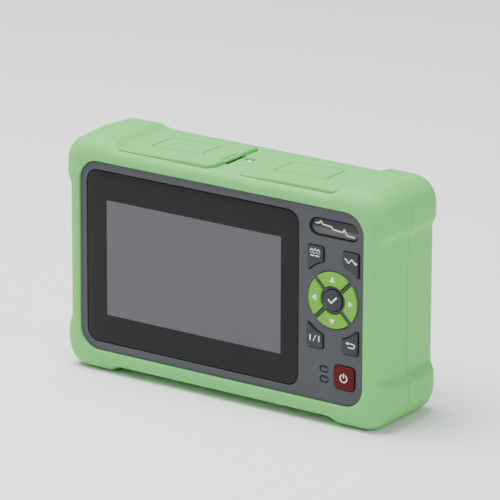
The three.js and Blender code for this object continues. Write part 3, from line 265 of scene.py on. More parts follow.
def pocket_distance(x, d):
    """Signed distance from the two flap pockets, joined with the slit at the left flap's end."""
    d0, d1 = FLAP_FRONT - FLAP_GAP, FLAP_BACK + FLAP_GAP
    found = box_distance(x, d, *SLIT, 0.3)
    for hinge, end in ((LEFT_HINGE, LEFT_END), (RIGHT_HINGE, RIGHT_END)):
        r = np.where(x > (hinge + end) / 2, FLAP_CORNER_R + FLAP_GAP, 0.05)
        one = box_distance(x, d, hinge - HINGE_ROOM, end + FLAP_GAP, d0, d1, r)
        found = np.minimum(found, one)
    return found


def screw_distance(x, d):
    """Signed distance from the bridge screw's hole."""
    return np.hypot(x - SCREW_X, d - SCREW_D) - SCREW_HOLE_R


def stepped(x, d, distance, reach=PITCH * 0.98, wall=0.05):
    """Moves points within reach of an outline to wall's width either side of it, along the
    distance's gradient, so that a step between the two sides is upright."""
    far = distance(x, d)
    near = np.abs(far) < reach
    gx = (distance(x + 0.01, d) - distance(x - 0.01, d)) / 0.02
    gd = (distance(x, d + 0.01) - distance(x, d - 0.01)) / 0.02
    size = np.maximum(np.hypot(gx, gd), 0.5)
    move = np.where(near, np.where(far < 0, -wall, wall) - far, 0) / size
    return x + move * gx / size, d + move * gd / size


def skin(name, points, quads, triangles=()):
    """A closed mesh from points in millimetres, quads and triangles. The volume is the sum of
    a . (b x c) / 6 over its triangles a, b, c; where it is negative, every face is turned."""
    points = np.asarray(points, float)
    quads = np.asarray(quads, int).reshape(-1, 4)
    triangles = np.asarray(triangles, int).reshape(-1, 3)
    split = np.concatenate([quads[:, [0, 1, 2]], quads[:, [0, 2, 3]], triangles])
    a, b, c = (points[split[:, k]] for k in range(3))
    if np.einsum("ij,ij->", a, np.cross(b, c)) < 0:
        quads, triangles = quads[:, ::-1], triangles[:, ::-1]
    mesh = bpy.data.meshes.new(name)
    mesh.from_pydata((points / 1000).tolist(), [], quads.tolist() + triangles.tolist())
    mesh.update()
    made = bpy.data.objects.new(name, mesh)
    bpy.context.scene.collection.objects.link(made)
    return made


def grid_quads(rows, columns, wrap_rows=False, wrap_columns=False):
    """Quads of a grid whose point (row, column) has index row * columns + column."""
    r = np.arange(rows if wrap_rows else rows - 1)
    c = np.arange(columns if wrap_columns else columns - 1)
    r, c = np.meshgrid(r, c, indexing="ij")
    r1, c1 = (r + 1) % rows, (c + 1) % columns
    corners = [r * columns + c, r * columns + c1, r1 * columns + c1, r1 * columns + c]
    return np.stack(corners, -1).reshape(-1, 4)


def shade(piece, degrees=35):
    """Smooth shading, with edges sharper than the angle kept."""
    piece.data.shade_smooth()
    piece.data.set_sharp_from_angle(angle=math.radians(degrees))
    return piece


def dress(piece, material, body, nodes=()):
    """Gives a piece its material, the body it rides on and the nodes it stands for."""
    piece.data.materials.clear()
    piece.data.materials.append(material)
    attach(piece, body)
    if nodes:
        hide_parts(*nodes)
    return piece


def boot_skin():
    """A closed skin: rings of the outline run from the front opening over the outside to the
    back opening and back along the cavity. Pockets are steps down in the outside's top, and
    the windows over the wells are walls between the pocket floor and the cavity."""
    place, normal, bumper, (opening, back_opening, cavity) = boot_columns()
    columns = len(place)
    fine = np.array([0, 0.07, 0.27, 0.6, 1.05, 1.6, 2.25])
    depths = np.concatenate([fine, 3.0 + PITCH * np.arange(57), BOOT_DEPTH - fine[::-1]])

    def ring(flat, d):
        return np.stack([flat[:, 0], np.full(columns, FRONT_Y) + d, flat[:, 1]], 1)

    outside = []
    on_top = (normal[:, 1] > FACING) & (np.abs(place[:, 0]) < STEP_LIMIT)
    side_x = np.abs(place[:, 0])
    seam_columns = np.where(normal[:, 1] > FACING, smooth(*SEAM_FADE, side_x), 1.0)
    seam_columns *= 1 - smooth(0.9, 0.99, -normal[:, 1]) * 0.999
    forward = SEAM_TOP * smooth(*SEAM_TURN, side_x)
    forward *= 1 - smooth(SEAM_TURN[1], SEAM_CORNER, side_x)
    seam_shift = np.where(normal[:, 1] > FACING, forward, 0)
    seam_shift += np.where(np.abs(normal[:, 0]) > FACING, SEAM_SIDE * (1 - bumper), 0)
    for d in depths:
        from_seam = d - SEAM_DEPTH
        d_here = d - np.where(abs(from_seam) < 1, from_seam * SEAM_SQUEEZE, 0) * seam_columns
        d_here = d_here + seam_shift * (1 - smooth(0, SEAM_REACH, abs(from_seam)))
        off = boot_offset(d_here, bumper, normal[:, 1])
        if abs(from_seam) < 0.1:
            off = off + GROOVE * seam_columns
        flat = place - normal * off[:, None]
        x, z = flat[:, 0].copy(), flat[:, 1].copy()
        dd = d_here.copy()
        if 0.5 < d < BOOT_DEPTH - 0.5:
            for distance in (pocket_distance, screw_distance):
                moved_x, moved_d = stepped(x, dd, distance)
                x, dd = np.where(on_top, moved_x, x), np.where(on_top, moved_d, dd)
            z = np.where(on_top, boot_top(x, dd), z)
            z = np.where(on_top & (pocket_distance(x, dd) < 0), POCKET_FLOOR_Z, z)
            z = np.where(on_top & (screw_distance(x, dd) < 0), SCREW_SEAT_Z, z)
        outside.append(np.stack([x, FRONT_Y + dd, z], 1))

    first = outside[0][:, [0, 2]]
    last = outside[-1][:, [0, 2]]
    steps = np.radians([0, 30, 60, 90])
    front = [ring(opening, FRONT_LIP - 0.2), ring(opening, LIP_ROUND)]
    for a in steps[1:]:
        out = LIP_ROUND * (1 - math.cos(a))
        front.append(ring(opening + normal * out, LIP_ROUND * (1 - math.sin(a))))
    rim = opening + normal * LIP_ROUND
    front += [ring(rim + (first - rim) * t, 0.0) for t in (0.25, 0.5, 0.75)]
    back_rim = back_opening + normal * LIP_ROUND
    back = [ring(last + (back_rim - last) * t, BOOT_DEPTH) for t in (0.25, 0.5, 0.75)]
    for a in steps[::-1]:
        out = LIP_ROUND * (1 - math.cos(a))
        back.append(ring(back_opening + normal * out, BOOT_DEPTH - LIP_ROUND * (1 - math.sin(a))))
    back.append(ring(back_opening, BOOT_DEPTH - BACK_LIP + 0.2))
    back.append(ring(back_opening + normal * 0.2, BOOT_DEPTH - BACK_LIP))
    inside_depths = [BOOT_DEPTH - BACK_LIP, 41.0, 37.0]
    window_rows = np.nonzero((depths > WELL_DEPTHS[0] - 0.01) & (depths < WELL_DEPTHS[1] + 0.01))[0]
    inside_depths += list(depths[window_rows][::-1]) + [8.0, FRONT_LIP]
    inside = [ring(cavity, d) for d in inside_depths]
    inside += [ring(opening + normal * 0.2, FRONT_LIP)]
    rings = front + outside + back + inside
    points = np.concatenate(rings)
    quads = grid_quads(len(rings), columns, wrap_rows=True, wrap_columns=True)

    top = np.nonzero(normal[:, 1] > FACING)[0]
    all_outer = len(front) + window_rows
    all_inner = len(front) + len(outside) + len(back) + 3 + np.arange(len(window_rows))[::-1]
    row_of, column_of = quads[:, 0] // columns, quads[:, 0] % columns
    keep = np.ones(len(quads), bool)
    walls = []
    for x0, x1, d0, d1 in OPEN_FLOORS:
        opened = (depths[window_rows] > d0 - 0.01) & (depths[window_rows] < d1 + 0.01)
        outer_row, inner_row = all_outer[opened], all_inner[opened]
        inside_x = top[(place[top, 0] > x0 - 0.01) & (place[top, 0] < x1 + 0.01)]
        c0, c1 = inside_x.min(), inside_x.max()
        in_columns = (column_of >= c0) & (column_of < c1)
        keep &= ~(in_columns & (row_of >= outer_row[0]) & (row_of < outer_row[-1]))
        keep &= ~(in_columns & (row_of >= inner_row[-1]) & (row_of < inner_row[0]))
        across = np.arange(c0, c1 + 1)
        outer, inner = (
            np.concatenate(
                [
                    rows[0] * columns + across,
                    rows[1:] * columns + c1,
                    rows[-1] * columns + across[::-1][1:],
                    rows[::-1][1:-1] * columns + c0,
                ]
            )
            for rows in (outer_row, inner_row)
        )
        walls.append(np.stack([outer, np.roll(outer, -1), np.roll(inner, -1), inner], 1))
    quads = np.concatenate([quads[keep]] + walls)
    return shade(skin("boot", points, quads))


def node_of(tree, kind, given=(), **settings):
    """A shader node with its settings and then its inputs: a socket is linked, and any other
    value is set."""
    node = tree.nodes.new(f"ShaderNode{kind}")
    for name, value in settings.items():
        setattr(node, name, value)
    for key, value in dict(given).items():
        if isinstance(value, bpy.types.NodeSocket):
            tree.links.new(value, node.inputs[key])
        else:
            node.inputs[key].default_value = value
    return node


def grain_group():
    """Fine moulded grain: height is fine noise, and a slow, slight drift darkens the colour by
    up to its amount and roughens the surface a little."""
    group = bpy.data.node_groups.new("moulded_grain", "ShaderNodeTree")
    for name, kind, value in (
        ("Fine Scale", "NodeSocketFloat", 1800.0),
        ("Drift Scale", "NodeSocketFloat", 30.0),
        ("Drift", "NodeSocketFloat", 0.06),
        ("Colour", "NodeSocketColor", (0.5, 0.5, 0.5, 1)),
        ("Roughness", "NodeSocketFloat", 0.6),
    ):
        group.interface.new_socket(name, in_out="INPUT", socket_type=kind).default_value = value
    for name, kind in (
        ("Colour", "NodeSocketColor"),
        ("Roughness", "NodeSocketFloat"),
        ("Height", "NodeSocketFloat"),
    ):
        group.interface.new_socket(name, in_out="OUTPUT", socket_type=kind)
    given = group.nodes.new("NodeGroupInput").outputs
    place = node_of(group, "TexCoord").outputs["Object"]
    at_fine = {"Vector": place, "Detail": 2, "Scale": given["Fine Scale"]}
    at_slow = {"Vector": place, "Detail": 3, "Scale": given["Drift Scale"]}
    fine, slow = (node_of(group, "TexNoise", at).outputs["Fac"] for at in (at_fine, at_slow))
    drift = node_of(group, "Math", {0: slow, 1: given["Drift"]}, operation="MULTIPLY").outputs[0]
    kept = node_of(group, "Math", {0: 1.0, 1: drift}, operation="SUBTRACT").outputs[0]
    tint = node_of(group, "VectorMath", {0: given["Colour"], "Scale": kept}, operation="SCALE")
    parts = {0: slow, 1: ROUGH_DRIFT, 2: given["Roughness"]}
    rough = node_of(group, "Math", parts, operation="MULTIPLY_ADD")
    out = group.nodes.new("NodeGroupOutput").inputs
    found = (("Colour", tint.outputs[0]), ("Roughness", rough.outputs[0]), ("Height", fine))
    for name, socket in found:
        group.links.new(socket, out[name])
    return group


ROUGH_DRIFT = 0.08  # how much the slow drift adds to the roughness
GRAIN = grain_group()


def linear(*srgb):
    """An 8-bit sRGB colour as linear light: ((c + 0.055) / 1.055) ^ 2.4, or c / 12.92 when dark."""
    c = np.array(srgb) / 255
    return (*np.where(c > 0.04045, ((c + 0.055) / 1.055) ** 2.4, c / 12.92), 1)


BUMP_STRENGTH = 0.38


def finish(
    name,
    colour,
    roughness,
    metallic=0.0,
    grain=1800.0,
    depth=0.00004,
    drift=0.06,
    drift_scale=30.0,
    coat=0.0,
    gloss=0.35,
    ink=None,
):
    """A material whose colour, roughness and bump come from the grain group. ink, if given,
    is a function that takes the node tree and the colour's socket and returns a new one.
    gloss is the share of light that the surface mirrors, with 0.5 as usual for plastic."""
    made = bpy.data.materials.new(name)
    made.use_nodes = True
    tree = made.node_tree
    shader = tree.nodes["Principled BSDF"]
    values = {
        "Fine Scale": grain,
        "Drift Scale": drift_scale,
        "Drift": drift,
        "Colour": colour,
        "Roughness": roughness,
    }
    grains = node_of(tree, "Group", values, node_tree=GRAIN).outputs
    bumps = {"Strength": BUMP_STRENGTH, "Distance": depth, "Height": grains["Height"]}
    bump = node_of(tree, "Bump", bumps)
    colour_socket = ink(tree, grains["Colour"]) if ink else grains["Colour"]
    tree.links.new(bump.outputs["Normal"], shader.inputs["Normal"])
    tree.links.new(colour_socket, shader.inputs["Base Color"])
    tree.links.new(grains["Roughness"], shader.inputs["Roughness"])
    shader.inputs["Metallic"].default_value = metallic
    shader.inputs["Coat Weight"].default_value = coat
    shader.inputs["Specular IOR Level"].default_value = gloss
    return made


green = linear(104, 190, 99)
boot_rubber = finish("green_rubber", green, 0.55, grain=2600, depth=0.00003, drift=0.05)
boot = dress(boot_skin(), boot_rubber, "tester", ["rubber_boot"])

# ------------------------------------------------------------------ port flaps
# Two lids moulded in the same rubber, each held by a thin living hinge at its left end. The
# left one stands a little open at its scooped free end, and both have a plug underneath.
FLAP_EDGE_R = 0.8
FLAP_UNDER_Z = 104.5
WEB_UNDER_Z = 105.5  # underside of the thin web at the hinge
PLUG_DROP = 0.9
SCOOP, SCOOP_DROP = SLIT[2:], 1.35
LIP_THICK, LIP_BACK = 0.5, 1.3
PANEL_GROOVE, PANEL_R = 0.8, 1.0
HOLLOW_DROP, HOLLOW_HALF = 0.55, 2.4  # the shallow hollow across a bend
ARROW_RISE = 0.25
PLUG_HALF, PLUG_DEPTHS, PLUG_R = 18, (14, 31), 1
PANEL_DEPTHS = (15, 31)


def flap_skin(name, hinge, end, proud, lift, panel, scooped):
    """A closed skin over the plan x from the pocket's wall to the free end. The top follows the
    boot's top at mid depth plus the stand proud(x), falls away at the free edges by a quarter
    circle, and has a fine groove round a panel. A flap with no scoop has a shallow hollow across
    its bend. The underside is flat, with a thin web at the hinge. Under the scoop it rises to
    a thin lip, and the lip's edge is drawn back."""
    start = hinge - HINGE_ROOM + 0.05
    groove = [-0.6, -0.4, -0.2, 0.2, 0.4, 0.6]
    px0, px1, pd0, pd1 = panel
    xs = np.concatenate(
        [
            np.linspace(start, hinge + 2, 12),
            np.arange(hinge + 2.6, end - 5.2, 0.6),
            end - FLAP_CORNER_R * (1 - np.sin(np.radians(np.linspace(0, 90, 15)))),
            px0 + np.array(groove),
            px1 + np.array(groove),
        ]
    )
    xs = np.unique(np.round(xs, 3))
    near, far = [0, 0.06, 0.22, 0.5, 0.85], [36.45, 36.8, 37.08, 37.24, 37.3]
    vs = np.concatenate([near, np.arange(1.5, 36, 0.6), far])
    line_rows = np.concatenate([side - FLAP_FRONT + np.array(groove) for side in (pd0, pd1)])
    vs = np.unique(np.round(np.concatenate([vs, line_rows]), 3)) / (FLAP_BACK - FLAP_FRONT)
    x, v = np.meshgrid(xs, vs, indexing="ij")
    into = np.clip(x - (end - FLAP_CORNER_R), 0, FLAP_CORNER_R)
    pull = FLAP_CORNER_R - np.sqrt(FLAP_CORNER_R**2 - into**2)
    d = FLAP_FRONT + pull + v * (FLAP_BACK - FLAP_FRONT - 2 * pull)
    r = np.where(x > (hinge + end) / 2, FLAP_CORNER_R, 0.05)
    inset = -box_distance(x, d, start - 30, end, FLAP_FRONT, FLAP_BACK, r)
    lean = 0.3 * np.abs(d - BOOT_DEPTH / 2) / (BOOT_DEPTH / 2)
    level = boot_top(x, np.full_like(x, BOOT_DEPTH / 2))
    top = level - lean + proud(x) - edge_fall(inset, FLAP_EDGE_R)
    on_line = np.abs(box_distance(x, d, px0, px1, pd0, pd1, PANEL_R))
    top -= PANEL_GROOVE * (1 - smooth(0.2, 0.6, on_line))
    mid_x, mid_d = (px0 + px1) / 2, (pd0 + pd1) / 2
    shaft = box_distance(x, d, mid_x - 6, mid_x + 3, mid_d - 0.7, mid_d + 0.7, 0.3)
    head = np.maximum(mid_x + 2 - x, np.abs(d - mid_d) * 1.2 + (x - mid_x - 6.5))
    top += ARROW_RISE * (1 - smooth(-0.2, 0.5, np.minimum(shaft, head)))
    if scooped:
        within = smooth(SCOOP[0] - 0.2, SCOOP[0] + 1.4, d)
        within = within * (1 - smooth(SCOOP[1] - 1.4, SCOOP[1] + 0.2, d))
        top -= SCOOP_DROP * within * smooth(end - 3.4, end - 0.4, x)
    else:
        bend = smooth(13, 16, d) * (1 - smooth(28, 31, d))
        off_bend = np.abs(x - hinge - HOLLOW_HALF / 2)
        top -= HOLLOW_DROP * bend * (1 - smooth(0, HOLLOW_HALF, off_bend))
    rise = np.maximum(x - hinge, 0) * math.tan(math.radians(lift))
    web = 1 - smooth(hinge + 1.4, hinge + 2.4, x)
    under = FLAP_UNDER_Z + rise + (WEB_UNDER_Z - FLAP_UNDER_Z) * web
    under = np.minimum(under, top - 0.35)
    mid = (hinge + end) / 2
    plug = box_distance(x, d, mid - PLUG_HALF, mid + PLUG_HALF, *PLUG_DEPTHS, PLUG_R)
    under = under - PLUG_DROP * (1 - smooth(-0.4, 0.1, plug))
    if scooped:
        lip = within * smooth(end - 7.5, end - 5.0, x)
        under = under + lip * (top - LIP_THICK - under)
        x = x - LIP_BACK * within * smooth(end - 3.5, end, x)
    n, m = x.shape
    upper = np.stack([x, FRONT_Y + d, top], -1).reshape(-1, 3)
    lower = np.stack([x, FRONT_Y + d, under], -1).reshape(-1, 3)
    quads = grid_quads(n, m)
    count = n * m
    i, j = np.arange(n), np.arange(m)
    loop = np.concatenate([j, i[1:] * m + m - 1, (n - 1) * m + j[::-1][1:], i[::-1][1:-1] * m])
    wall = np.stack([loop, np.roll(loop, -1), np.roll(loop, -1) + count, loop + count], 1)
    quads = np.concatenate([quads, (quads + count)[:, ::-1], wall[:, ::-1]])
    return shade(skin(name, np.concatenate([upper, lower]), quads))


def left_proud(x):
    """Nearly flush at the hinge, standing 1.8 proud at the free end."""
    return 0.5 + 1.3 * smooth(LEFT_HINGE, LEFT_END + 12, x)


def right_proud(x):
    """Nearly flush at the hinge, 1.3 proud past the middle, and lowered again where the boot's
    bumper rises beside the free end."""
    return 0.3 + 1.0 * smooth(RIGHT_HINGE, 38, x) - 1.6 * smooth(56, RIGHT_END, x)


for side, hinge, end, proud, lift, panel in (
    ("left", LEFT_HINGE, LEFT_END, left_proud, 1.4, (-47, -20, *PANEL_DEPTHS)),
    ("right", RIGHT_HINGE, RIGHT_END, right_proud, 0.6, (19, 47, *PANEL_DEPTHS)),
):
    flap = flap_skin(f"flap_{side}", hinge, end, proud, lift, panel, side == "left")
    flap.data.materials.append(boot_rubber)
    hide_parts(f"port_flap_{side}")
    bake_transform(flap)

# ------------------------------------------------------------------ case halves
# Two grey moulded halves with a fine spark finish, screwed together from the back. The edges of
# every opening are broken by a small round, as moulded parts have.
CASE_GREY = linear(60, 63, 68)


def softened_copy(name, node, width, segments=2, degrees=30):
    """A merged copy of a node: points that agree to a micron become one, flat neighbours join,
    and a bevel modifier rounds the edges that turn by more than the angle."""
    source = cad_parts[node].data
    co = np.empty(len(source.vertices) * 3, np.float32)
    source.vertices.foreach_get("co", co)
    corners = np.empty(len(source.loops), np.int32)
    source.loops.foreach_get("vertex_index", corners)
    points = co.reshape(-1, 3)
    _, first, merged = np.unique(
        np.round(points * 1e6).astype(int), axis=0, return_index=True, return_inverse=True
    )
    faces = merged.reshape(-1)[corners].reshape(-1, 3)
    whole = (faces != np.roll(faces, 1, 1)).all(1)
    mesh = bpy.data.meshes.new(name)
    mesh.from_pydata(points[first].tolist(), [], faces[whole].tolist())
    worked = bmesh.new()
    worked.from_mesh(mesh)
    bmesh.ops.dissolve_limit(
        worked, angle_limit=math.radians(1), verts=worked.verts[:], edges=worked.edges[:]
    )
    worked.to_mesh(mesh)
    worked.free()
    made = bpy.data.objects.new(name, mesh)
    bpy.context.scene.collection.objects.link(made)
    edge = made.modifiers.new("edge", "BEVEL")
    edge.width = width / 1000
    edge.segments = segments
    edge.limit_method = "ANGLE"
    edge.angle_limit = math.radians(degrees)
    edge.use_clamp_overlap = False
    edge.harden_normals = True
    return shade(made, degrees)


case_plastic = finish("grey_case", CASE_GREY, 0.5, grain=1500, depth=0.00004, drift=0.05)
for half in ("front_case", "back_case"):
    shell = softened_copy(half.replace("_", "_shell_"), half, 0.15)
    dress(shell, case_plastic, "tester", [half])

# ------------------------------------------------------------------ touch glass
# One sheet of cover glass with rounded edges, printed black behind its border. The glass is
# opaque: the switched-off panel is painted on it as a flat grey picture area, its grey lifted
# by a painted reflection of the bright studio.
GLASS = (-15.4, 55.1, 115.3, 80.5, 5.5)  # middle x and z, width, height, corner radius
GLASS_FRONT, GLASS_BACK = 1.2, 2.6
PICTURE = (-14.7, 55.1, 95.04, 53.86)


def rounded_outline(x, z, w, h, r, steps=12):
    """A rectangle with quarter-circle corners, anticlockwise from the front."""
    turn = (np.arange(4)[:, None] + np.linspace(0, 1, steps + 1)) * math.pi / 2
    mid = np.array([[1, 1], [-1, 1], [-1, -1], [1, -1]]) * [w / 2 - r, h / 2 - r]
    arcs = mid[:, None, :] + r * np.stack([np.cos(turn), np.sin(turn)], -1)
    return arcs.reshape(-1, 2) + [x, z]


def inset(outline, d):
    """The outline with each point moved inwards by d along the mean of its sides' normals."""
    before = outline - np.roll(outline, 1, 0)
    after = np.roll(outline, -1, 0) - outline
    normals = []
    for side in (before, after):
        n = np.stack([side[:, 1], -side[:, 0]], 1)
        normals.append(n / np.maximum(np.linalg.norm(n, axis=1, keepdims=True), 1e-9))
    n = normals[0] + normals[1]
    n *= 2 / np.maximum((n * n).sum(1, keepdims=True), 1.0)
    return outline - n * d


def end_fans(total, count):
    """Triangles from two poles, the points total and total + 1, to the first and last rings."""
    k = np.arange(count)
    after = (k + 1) % count
    near = np.stack([np.full(count, total), after, k], 1)
    far = np.stack([np.full(count, total + 1), total - count + k, total - count + after], 1)
    return np.concatenate([near, far])


def cushion(name, outline, middle, front, back, r, crown, behind=()):
    """Rings from the front's middle out to the edge and back. Inside the rounding, ring t of the
    way out lies crown * t^2 deeper than the middle; the rounding is a quarter circle of radius
    r; then the side runs straight back. behind lists further (ring, depth) pairs."""
    middle = np.asarray(middle, float)
    rim = inset(outline, r)
    rings = [(middle + (rim - middle) * t, front + crown * t * t) for t in (0.15, 0.4, 0.65, 0.85)]
    for a in np.radians([0, 22, 45, 68, 90]):
        rings.append((inset(outline, r * (1 - math.sin(a))), front + crown + r * (1 - math.cos(a))))
    rings.append((outline, back))
    rings += list(behind)
    count = len(outline)
    points = [np.stack([p[:, 0], np.full(count, FRONT_Y + d), p[:, 1]], 1) for p, d in rings]
    ends = [
        [middle[0], FRONT_Y + front, middle[1]],
        [rings[-1][0][:, 0].mean(), FRONT_Y + rings[-1][1], rings[-1][0][:, 1].mean()],
    ]
    quads = grid_quads(len(rings), count, wrap_columns=True)
    fans = end_fans(len(rings) * count, count)
    return shade(skin(name, np.concatenate(points + [np.array(ends)]), quads, fans))


def panel_group():
    """1 inside a rectangle in X and Z and 0 outside it: 1 minus a ramp of the given softness
    over max(|x - cx| - w/2, |z - cz| - h/2). Lengths are in metres."""
    group = bpy.data.node_groups.new("printed_panel", "ShaderNodeTree")
    for name in ("X", "Z", "Half Width", "Half Height", "Softness"):
        group.interface.new_socket(name, in_out="INPUT", socket_type="NodeSocketFloat")
    group.interface.new_socket("Mask", in_out="OUTPUT", socket_type="NodeSocketFloat")
    given = group.nodes.new("NodeGroupInput").outputs
    place = node_of(group, "TexCoord").outputs["Object"]
    parts = node_of(group, "SeparateXYZ", {0: place}).outputs

    def math_of(kind, *sockets):
        return node_of(group, "Math", enumerate(sockets), operation=kind).outputs[0]

    past = []
    for axis, half in (("X", "Half Width"), ("Z", "Half Height")):
        off = math_of("ABSOLUTE", math_of("SUBTRACT", parts[axis], given[axis]))
        past.append(math_of("SUBTRACT", off, given[half]))
    span = {"From Min": 0, "From Max": given["Softness"], "To Min": 1, "To Max": 0}
    ramp = node_of(group, "MapRange", {"Value": math_of("MAXIMUM", *past), **span})
    out = group.nodes.new("NodeGroupOutput")
    group.links.new(ramp.outputs[0], out.inputs["Mask"])
    return group


PRINT_EDGE = 0.08
PANEL = panel_group()


def printed(areas):
    """An ink that lays each (x, z, width, height, colour) area over the colour, in order."""

    def lay(tree, colour):
        for x, z, w, h, paint in areas:
            panel = node_of(tree, "Group", node_tree=PANEL)
            for socket, value in zip(panel.inputs, (x, z, w / 2, h / 2, PRINT_EDGE)):
                socket.default_value = value / 1000
            over = {"Factor": panel.outputs["Mask"], "A": colour, "B": paint}
            colour = node_of(tree, "Mix", over, data_type="RGBA").outputs["Result"]
        return colour

    return lay


cover_glass = finish(
    "cover_glass",
    linear(20, 20, 22),
    0.1,
    grain=300,
    depth=0.0000005,
    drift=0.03,
    gloss=0.15,
    # The picture area is the panel's own grey, lightened by painted reflection of the studio.
    ink=printed([(*PICTURE, linear(84, 84, 89))]),
)
glass = cushion("glass", rounded_outline(*GLASS), GLASS[:2], GLASS_FRONT, GLASS_BACK, 0.35, 0.0)
dress(glass, cover_glass, "tester", ["touch_glass"])

# ------------------------------------------------------------------ nameplate and lamp windows
# A dark domed plate lies in a sunk pocket, printed with a plain line trace. Its upper half is
# left dark as painted shadow of the pocket's top wall, and its lower half is painted lighter as
# painted light. Two smoked pill windows below the keys let the charge and power lamps show.
RING_X, RING_Z = 60.9, 58.3
PLATE_Z = RING_Z + 32.1


def bar(path, width, depth, thick, closed=False):
    """A flat bar along a path of (x, z) points: each ring is the path's point plus and minus half
    the width along its normal, at the front and at the back. Returns points and quads."""
    path = np.asarray(path, float)
    count = len(path)
    width = np.broadcast_to(np.asarray(width, float), count)
    if closed:
        way = np.roll(path, -1, 0) - np.roll(path, 1, 0)
    else:
        way = np.gradient(path, axis=0)
    way /= np.maximum(np.linalg.norm(way, axis=1, keepdims=True), 1e-9)
    side = np.stack([-way[:, 1], way[:, 0]], 1) * width[:, None] / 2
    corners = []
    for sign, d in ((1, depth), (-1, depth), (-1, depth + thick), (1, depth + thick)):
        at = path + sign * side
        corners.append(np.stack([at[:, 0], np.full(count, FRONT_Y + d), at[:, 1]], 1))
    points = np.stack(corners, 1).reshape(-1, 3)
    quads = grid_quads(count, 4, wrap_rows=closed, wrap_columns=True)
    if not closed:
        last = (count - 1) * 4
        quads = np.concatenate([quads, [[3, 2, 1, 0], [last, last + 1, last + 2, last + 3]]])
    return points, quads


def round_ended(points, width):
    """A path carried on by half its width at each end, with widths that close it to a half
    circle: at s of the way round, the width is width * cos s."""
    points = np.asarray(points, float)
    turn = np.radians([85, 60, 30])
    first = points[0] - points[1]
    last = points[-1] - points[-2]
    first = first / np.linalg.norm(first)
    last = last / np.linalg.norm(last)
    head = points[0] + first * (np.sin(turn) * width / 2)[:, None]
    tail = points[-1] + last * (np.sin(turn[::-1]) * width / 2)[:, None]
    widths = np.concatenate([np.cos(turn), np.ones(len(points)), np.cos(turn[::-1])]) * width
    return np.concatenate([head, points, tail]), widths


def marks(name, bars):
    """One mesh of several separate bars."""
    points, quads, start = [], [], 0
    for p, q in bars:
        a, b, c = p[q[:, 0]], p[q[:, 1]], p[q[:, 2]]
        d = p[q[:, 3]]
        volume = np.einsum("ij,ij->", a, np.cross(b, c)) + np.einsum("ij,ij->", a, np.cross(c, d))
        points.append(p)
        quads.append((q if volume > 0 else q[:, ::-1]) + start)
        start += len(p)
    return skin(name, np.concatenate(points), np.concatenate(quads))


# Painted light: the plate's lower half is painted lighter, and its dark upper half stands for
# painted shadow of the pocket's top wall.
plate_painted_lit_half = [(RING_X, PLATE_Z - 2.4, 26.0, 4.2, linear(67, 68, 71))]
plate_finish_with_painted_shade = finish(
    "nameplate_with_painted_shade", linear(22, 25, 26), 0.3, grain=900, depth=0.000004, ink=printed(plate_painted_lit_half)
)
plate_outline = rounded_outline(RING_X, PLATE_Z, 25.0, 7.3, 3.6, 16)
plate = cushion("nameplate", plate_outline, (RING_X, PLATE_Z), 2.1, 2.7, 0.3, 0.1)
dress(plate, plate_finish_with_painted_shade, "tester", ["name_plate"])
silver_print = finish("silver_print", linear(205, 208, 210), 0.5, grain=1200, depth=0.00001)
t = np.linspace(0, 1, 60)
spikes = 1.3 * np.exp(-(((t - 0.12) / 0.03) ** 2)) + 1.7 * np.exp(-(((t - 0.74) / 0.022) ** 2))
drops = 0.9 * smooth(0.4, 0.45, t) + 0.8 * smooth(0.78, 0.82, t)
trace = np.stack([RING_X - 10 + 20 * t, PLATE_Z + 1.4 - 1.9 * t + spikes - drops], 1)
line = marks("nameplate_trace", [bar(*round_ended(trace, 0.6), 2.02, 0.3)])
dress(shade(line), silver_print, "tester")

smoke = linear(27, 37, 50)
window_plastic = finish("smoked_window", smoke, 0.25, grain=900, depth=0.000005, coat=0.3)
for lamp_name, drop in (("charge", 32.5), ("power", 37.2)):
    where = (RING_X - 4.6, RING_Z - drop)
    pill = rounded_outline(*where, 4.2, 2.6, 1.28, 10)
    window = cushion(f"window_{lamp_name}", pill, where, 1.15, 5.8, 0.35, 0.15)
    dress(window, window_plastic, "tester", [f"light_pipe_{lamp_name}"])

# ------------------------------------------------------------------ keys
# Ten hard caps on one silicone mat: four dark corner keys, four green arrow keys in a ring, a
# dark round key in the middle and a red power key. Each sinks 0.7 mm, and its sign is printed.
KEY_FRONT = 0.1
KEY_ROUND = 0.5
FLANGE_FRONT, FLANGE_BACK, PLUNGER_END, PLUNGER_R = 4.3, 5.1, 6.4, 1.5
RING_OUT, RING_IN, RING_GAP = 12.85, 6.45, 2.0
CORNER_IN, CORNER_OUT, CORNER_TOP, CORNER_ARC = 5.1, 13.3, 23.2, 17.6


def filleted(points, radii, steps=7):
    """The outline with an arc of each point's radius laid into its corner, tangent to both
    sides: arc points are the circle's middle plus spokes turned evenly between them."""
    points = np.asarray(points, float)
    out = []
    for i, r in enumerate(radii):
        p = points[i]
        if not r:
            out.append(p[None])
            continue
        u = points[i - 1] - p
        v = points[(i + 1) % len(points)] - p
        room = 0.45 * min(np.linalg.norm(u), np.linalg.norm(v))
        u, v = u / np.linalg.norm(u), v / np.linalg.norm(v)
        half = math.acos(np.clip(u @ v, -1, 1)) / 2
        run = min(r / math.tan(half), room)
        r = run * math.tan(half)
        mid = p + (u + v) / np.linalg.norm(u + v) * r / math.sin(half)
        s, e = p + u * run - mid, p + v * run - mid
        t = np.linspace(0, 1, steps)[:, None]
        spoke = s * (1 - t) + e * t
        out.append(mid + r * spoke / np.linalg.norm(spoke, axis=1, keepdims=True))
    return np.concatenate(out)


def subdivided(outline, longest=0.6):
    """The outline with its long sides cut so that no step is longer than the given one."""
    after = np.roll(outline, -1, 0)
    parts = []
    for p, q in zip(outline, after):
        n = max(1, int(np.ceil(np.linalg.norm(q - p) / longest)))
        parts.append(p + (q - p) * (np.arange(n) / n)[:, None])
    return np.concatenate(parts)


